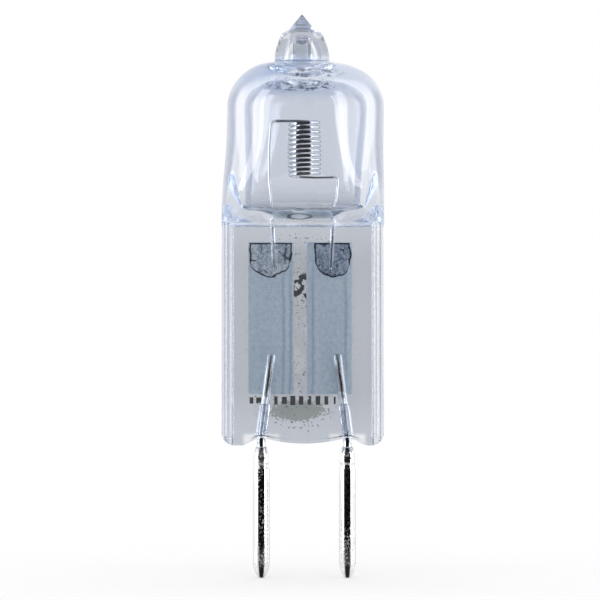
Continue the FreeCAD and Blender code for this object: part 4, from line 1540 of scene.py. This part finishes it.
@dataclass
class Studio:
    """A pale floor, an even white surround, and the camera of the photograph."""

    distance: float = 0.50
    aim_x: float = -0.325
    aim_z: float = 10.70
    view_width: float = 44.28
    elevation: float = 0.5
    floor_half: float = 0.50
    floor_front: float = 0.03
    front_half: float = 46.0
    front_soft: float = 5.0
    front_top: tuple[float, float] = (0.93, 0.98)
    front_dark: float = 0.04
    front_shade: float = 0.15
    panels: tuple[LightPanel, ...] = (
        LightPanel(-82.0, -64.0, 6.0), LightPanel(51.0, 64.0, 6.0),
        LightPanel(-106.0, -82.0, 0.7, 0.85, 3.0), LightPanel(64.0, 106.0, 0.7, 0.85, 3.0),
        LightPanel(-124.0, -109.0, 0.55, 0.70), LightPanel(96.0, 124.0, 0.5, 0.70),
        LightPanel(-160.0, -124.0, 0.18, 0.75, 4.0), LightPanel(124.0, 160.0, 0.18, 0.75, 4.0))

    def _panel(self, sheet: NodeSheet, level: Term, azimuth: Term, height: Term, panel: LightPanel) -> Term:
        """Adds one bright upright panel to the surround's level."""
        soft = math.radians(panel.soft)
        low, high = math.radians(panel.low), math.radians(panel.high)
        inside = sheet.span(azimuth, low - soft, low + soft, high - soft, high + soft)
        return inside * sheet.fall(height, panel.top, panel.top + 0.06) * panel.gain + level

    def _world(self) -> None:
        """Builds the surround: white behind and around, dark at the camera, bright side panels."""
        world = bpy.data.worlds.new("studio")
        bpy.context.scene.world = world
        world.use_nodes = True
        sheet = NodeSheet(world.node_tree)
        background = world.node_tree.nodes["Background"]
        sheet.feed(background, {"Color": WHITE})
        split = sheet.add("ShaderNodeSeparateXYZ", {0: sheet.take("ShaderNodeTexCoord", "Generated")})
        x, y, z = (Term(sheet, socket) for socket in split.outputs)
        azimuth = sheet.math("ARCTAN2", x, y * -1.0)
        height = abs(z)
        camera, mirrored, sent = sheet.rays()
        glossy = mirrored * (1.0 - sent)
        edges = (math.radians(self.front_half + shift) for shift in (-self.front_soft, self.front_soft))
        low = sheet.fall(abs(azimuth), *edges) * sheet.fall(height, *self.front_top)
        depth = sheet.most(glossy * (1.0 - self.front_dark), self.front_shade)
        level = 1.0 - low * (depth * (1.0 - camera))
        for panel in self.panels:
            level = self._panel(sheet, level, azimuth, height, panel)
        seen = sheet.most(camera, glossy, sent)
        sheet.feed(background, {"Strength": seen * level + (1.0 - seen)})

    def _floor(self) -> None:
        """Lays the floor that the pins stand on."""
        bm = bmesh.new()
        bmesh.ops.create_grid(bm, x_segments=8, y_segments=8, size=self.floor_half)
        bmesh.ops.translate(bm, verts=bm.verts[:], vec=(0, self.floor_half - self.floor_front, 0))
        mesh = bpy.data.meshes.new("floor")
        bm.to_mesh(mesh)
        bm.free()
        made = bpy.data.objects.new("floor", mesh)
        bpy.context.scene.collection.objects.link(made)
        material, sheet, shader = new_material("floor")
        speckle = sheet.blend(sheet.noise(sheet.places()[0], 90.0), (0.97, 0.97, 0.97, 1.0), WHITE)
        sheet.feed(shader, {"Base Color": speckle, "Roughness": 1.0, "Specular IOR Level": 0.0,
                            "Emission Color": WHITE,
                            "Emission Strength": sheet.most(*sheet.rays()) * 0.02})
        mesh.materials.append(material)

    def _camera(self) -> None:
        """Sets the camera in front of the seal's face, a long way off."""
        data = bpy.data.cameras.new("camera")
        data.sensor_width = 36.0
        data.lens = data.sensor_width * self.distance / (self.view_width * MM)
        data.clip_start = 0.01
        camera = bpy.data.objects.new("camera", data)
        target = place(self.aim_x, 0, self.aim_z)
        tilt = math.radians(self.elevation)
        camera.location = target + Vector((0, -math.cos(tilt), math.sin(tilt))) * self.distance
        camera.rotation_euler = (math.pi / 2 - tilt, 0, 0)
        bpy.context.scene.collection.objects.link(camera)
        bpy.context.scene.camera = camera

    def build(self) -> None:
        """Makes the whole studio."""
        self._world()
        self._floor()
        self._camera()
        scene = bpy.context.scene
        scene.view_settings.view_transform = "Standard"
        scene.cycles.max_bounces = QuartzFinish.trapped_depth
        scene.cycles.transmission_bounces = QuartzFinish.trapped_depth
        scene.cycles.glossy_bounces = QuartzFinish.trapped_depth
        LOG.info("studio: built")


def main() -> None:
    """Builds the bulb piece by piece, then the studio."""
    logging.basicConfig(level=logging.INFO, format="%(name)s %(message)s")
    grain = grain_group()
    quartz = QuartzFinish().material()
    tungsten = TungstenFinish("drawn_tungsten", (0.80, 0.80, 0.82, 1.0), (0.95, 0.95, 0.96, 1.0),
                              0.14, 3000.0, 0.2, 1.2).material(grain)
    lead_metal = LeadFinish("lead_metal", (0.62, 0.64, 0.66, 1.0), (0.90, 0.91, 0.93, 1.0),
                            0.16, 2500.0, 0.5, 1.6).material(grain)
    nickel = NickelFinish("nickel", (0.80, 0.79, 0.78, 1.0), (0.96, 0.95, 0.94, 1.0),
                          0.09, 1600.0, 0.35, 1.2).material(grain)
    Envelope(quartz).build()
    Print(InkFinish().material()).build()
    Filament(tungsten).build()
    for side in Side:
        Lead(lead_metal, side).build()
        Pin(nickel, side).build()
    metal = ((0.70, 0.81, 0.93, 1.0), (0.83, 0.95, 1.0, 1.0), 0.45, 9500.0, 1.6, 2.6, 1.0)
    left_patch = FoilPatch(-4.06, -0.96, (0.38, 0.45, 0.56, 1.0), (0.92, 0.98, 1.0, 1.0))
    right_patch = FoilPatch(0.78, 3.42, (0.19, 0.24, 0.31, 1.0), (0.62, 0.72, 0.84, 1.0))
    Foil(Side.LEFT, FoilFinish("foil_left", *metal, -4.15, -0.79, (-1.55, -1.28, -1.02),
                               patch=left_patch)).dress(grain)
    Foil(Side.RIGHT, FoilFinish("foil_right", *metal, 0.15, 3.51, (0.62, 0.95, 3.05),
                                patch=right_patch)).dress(grain)
    Studio().build()


if __name__ == "__main__":
    main()
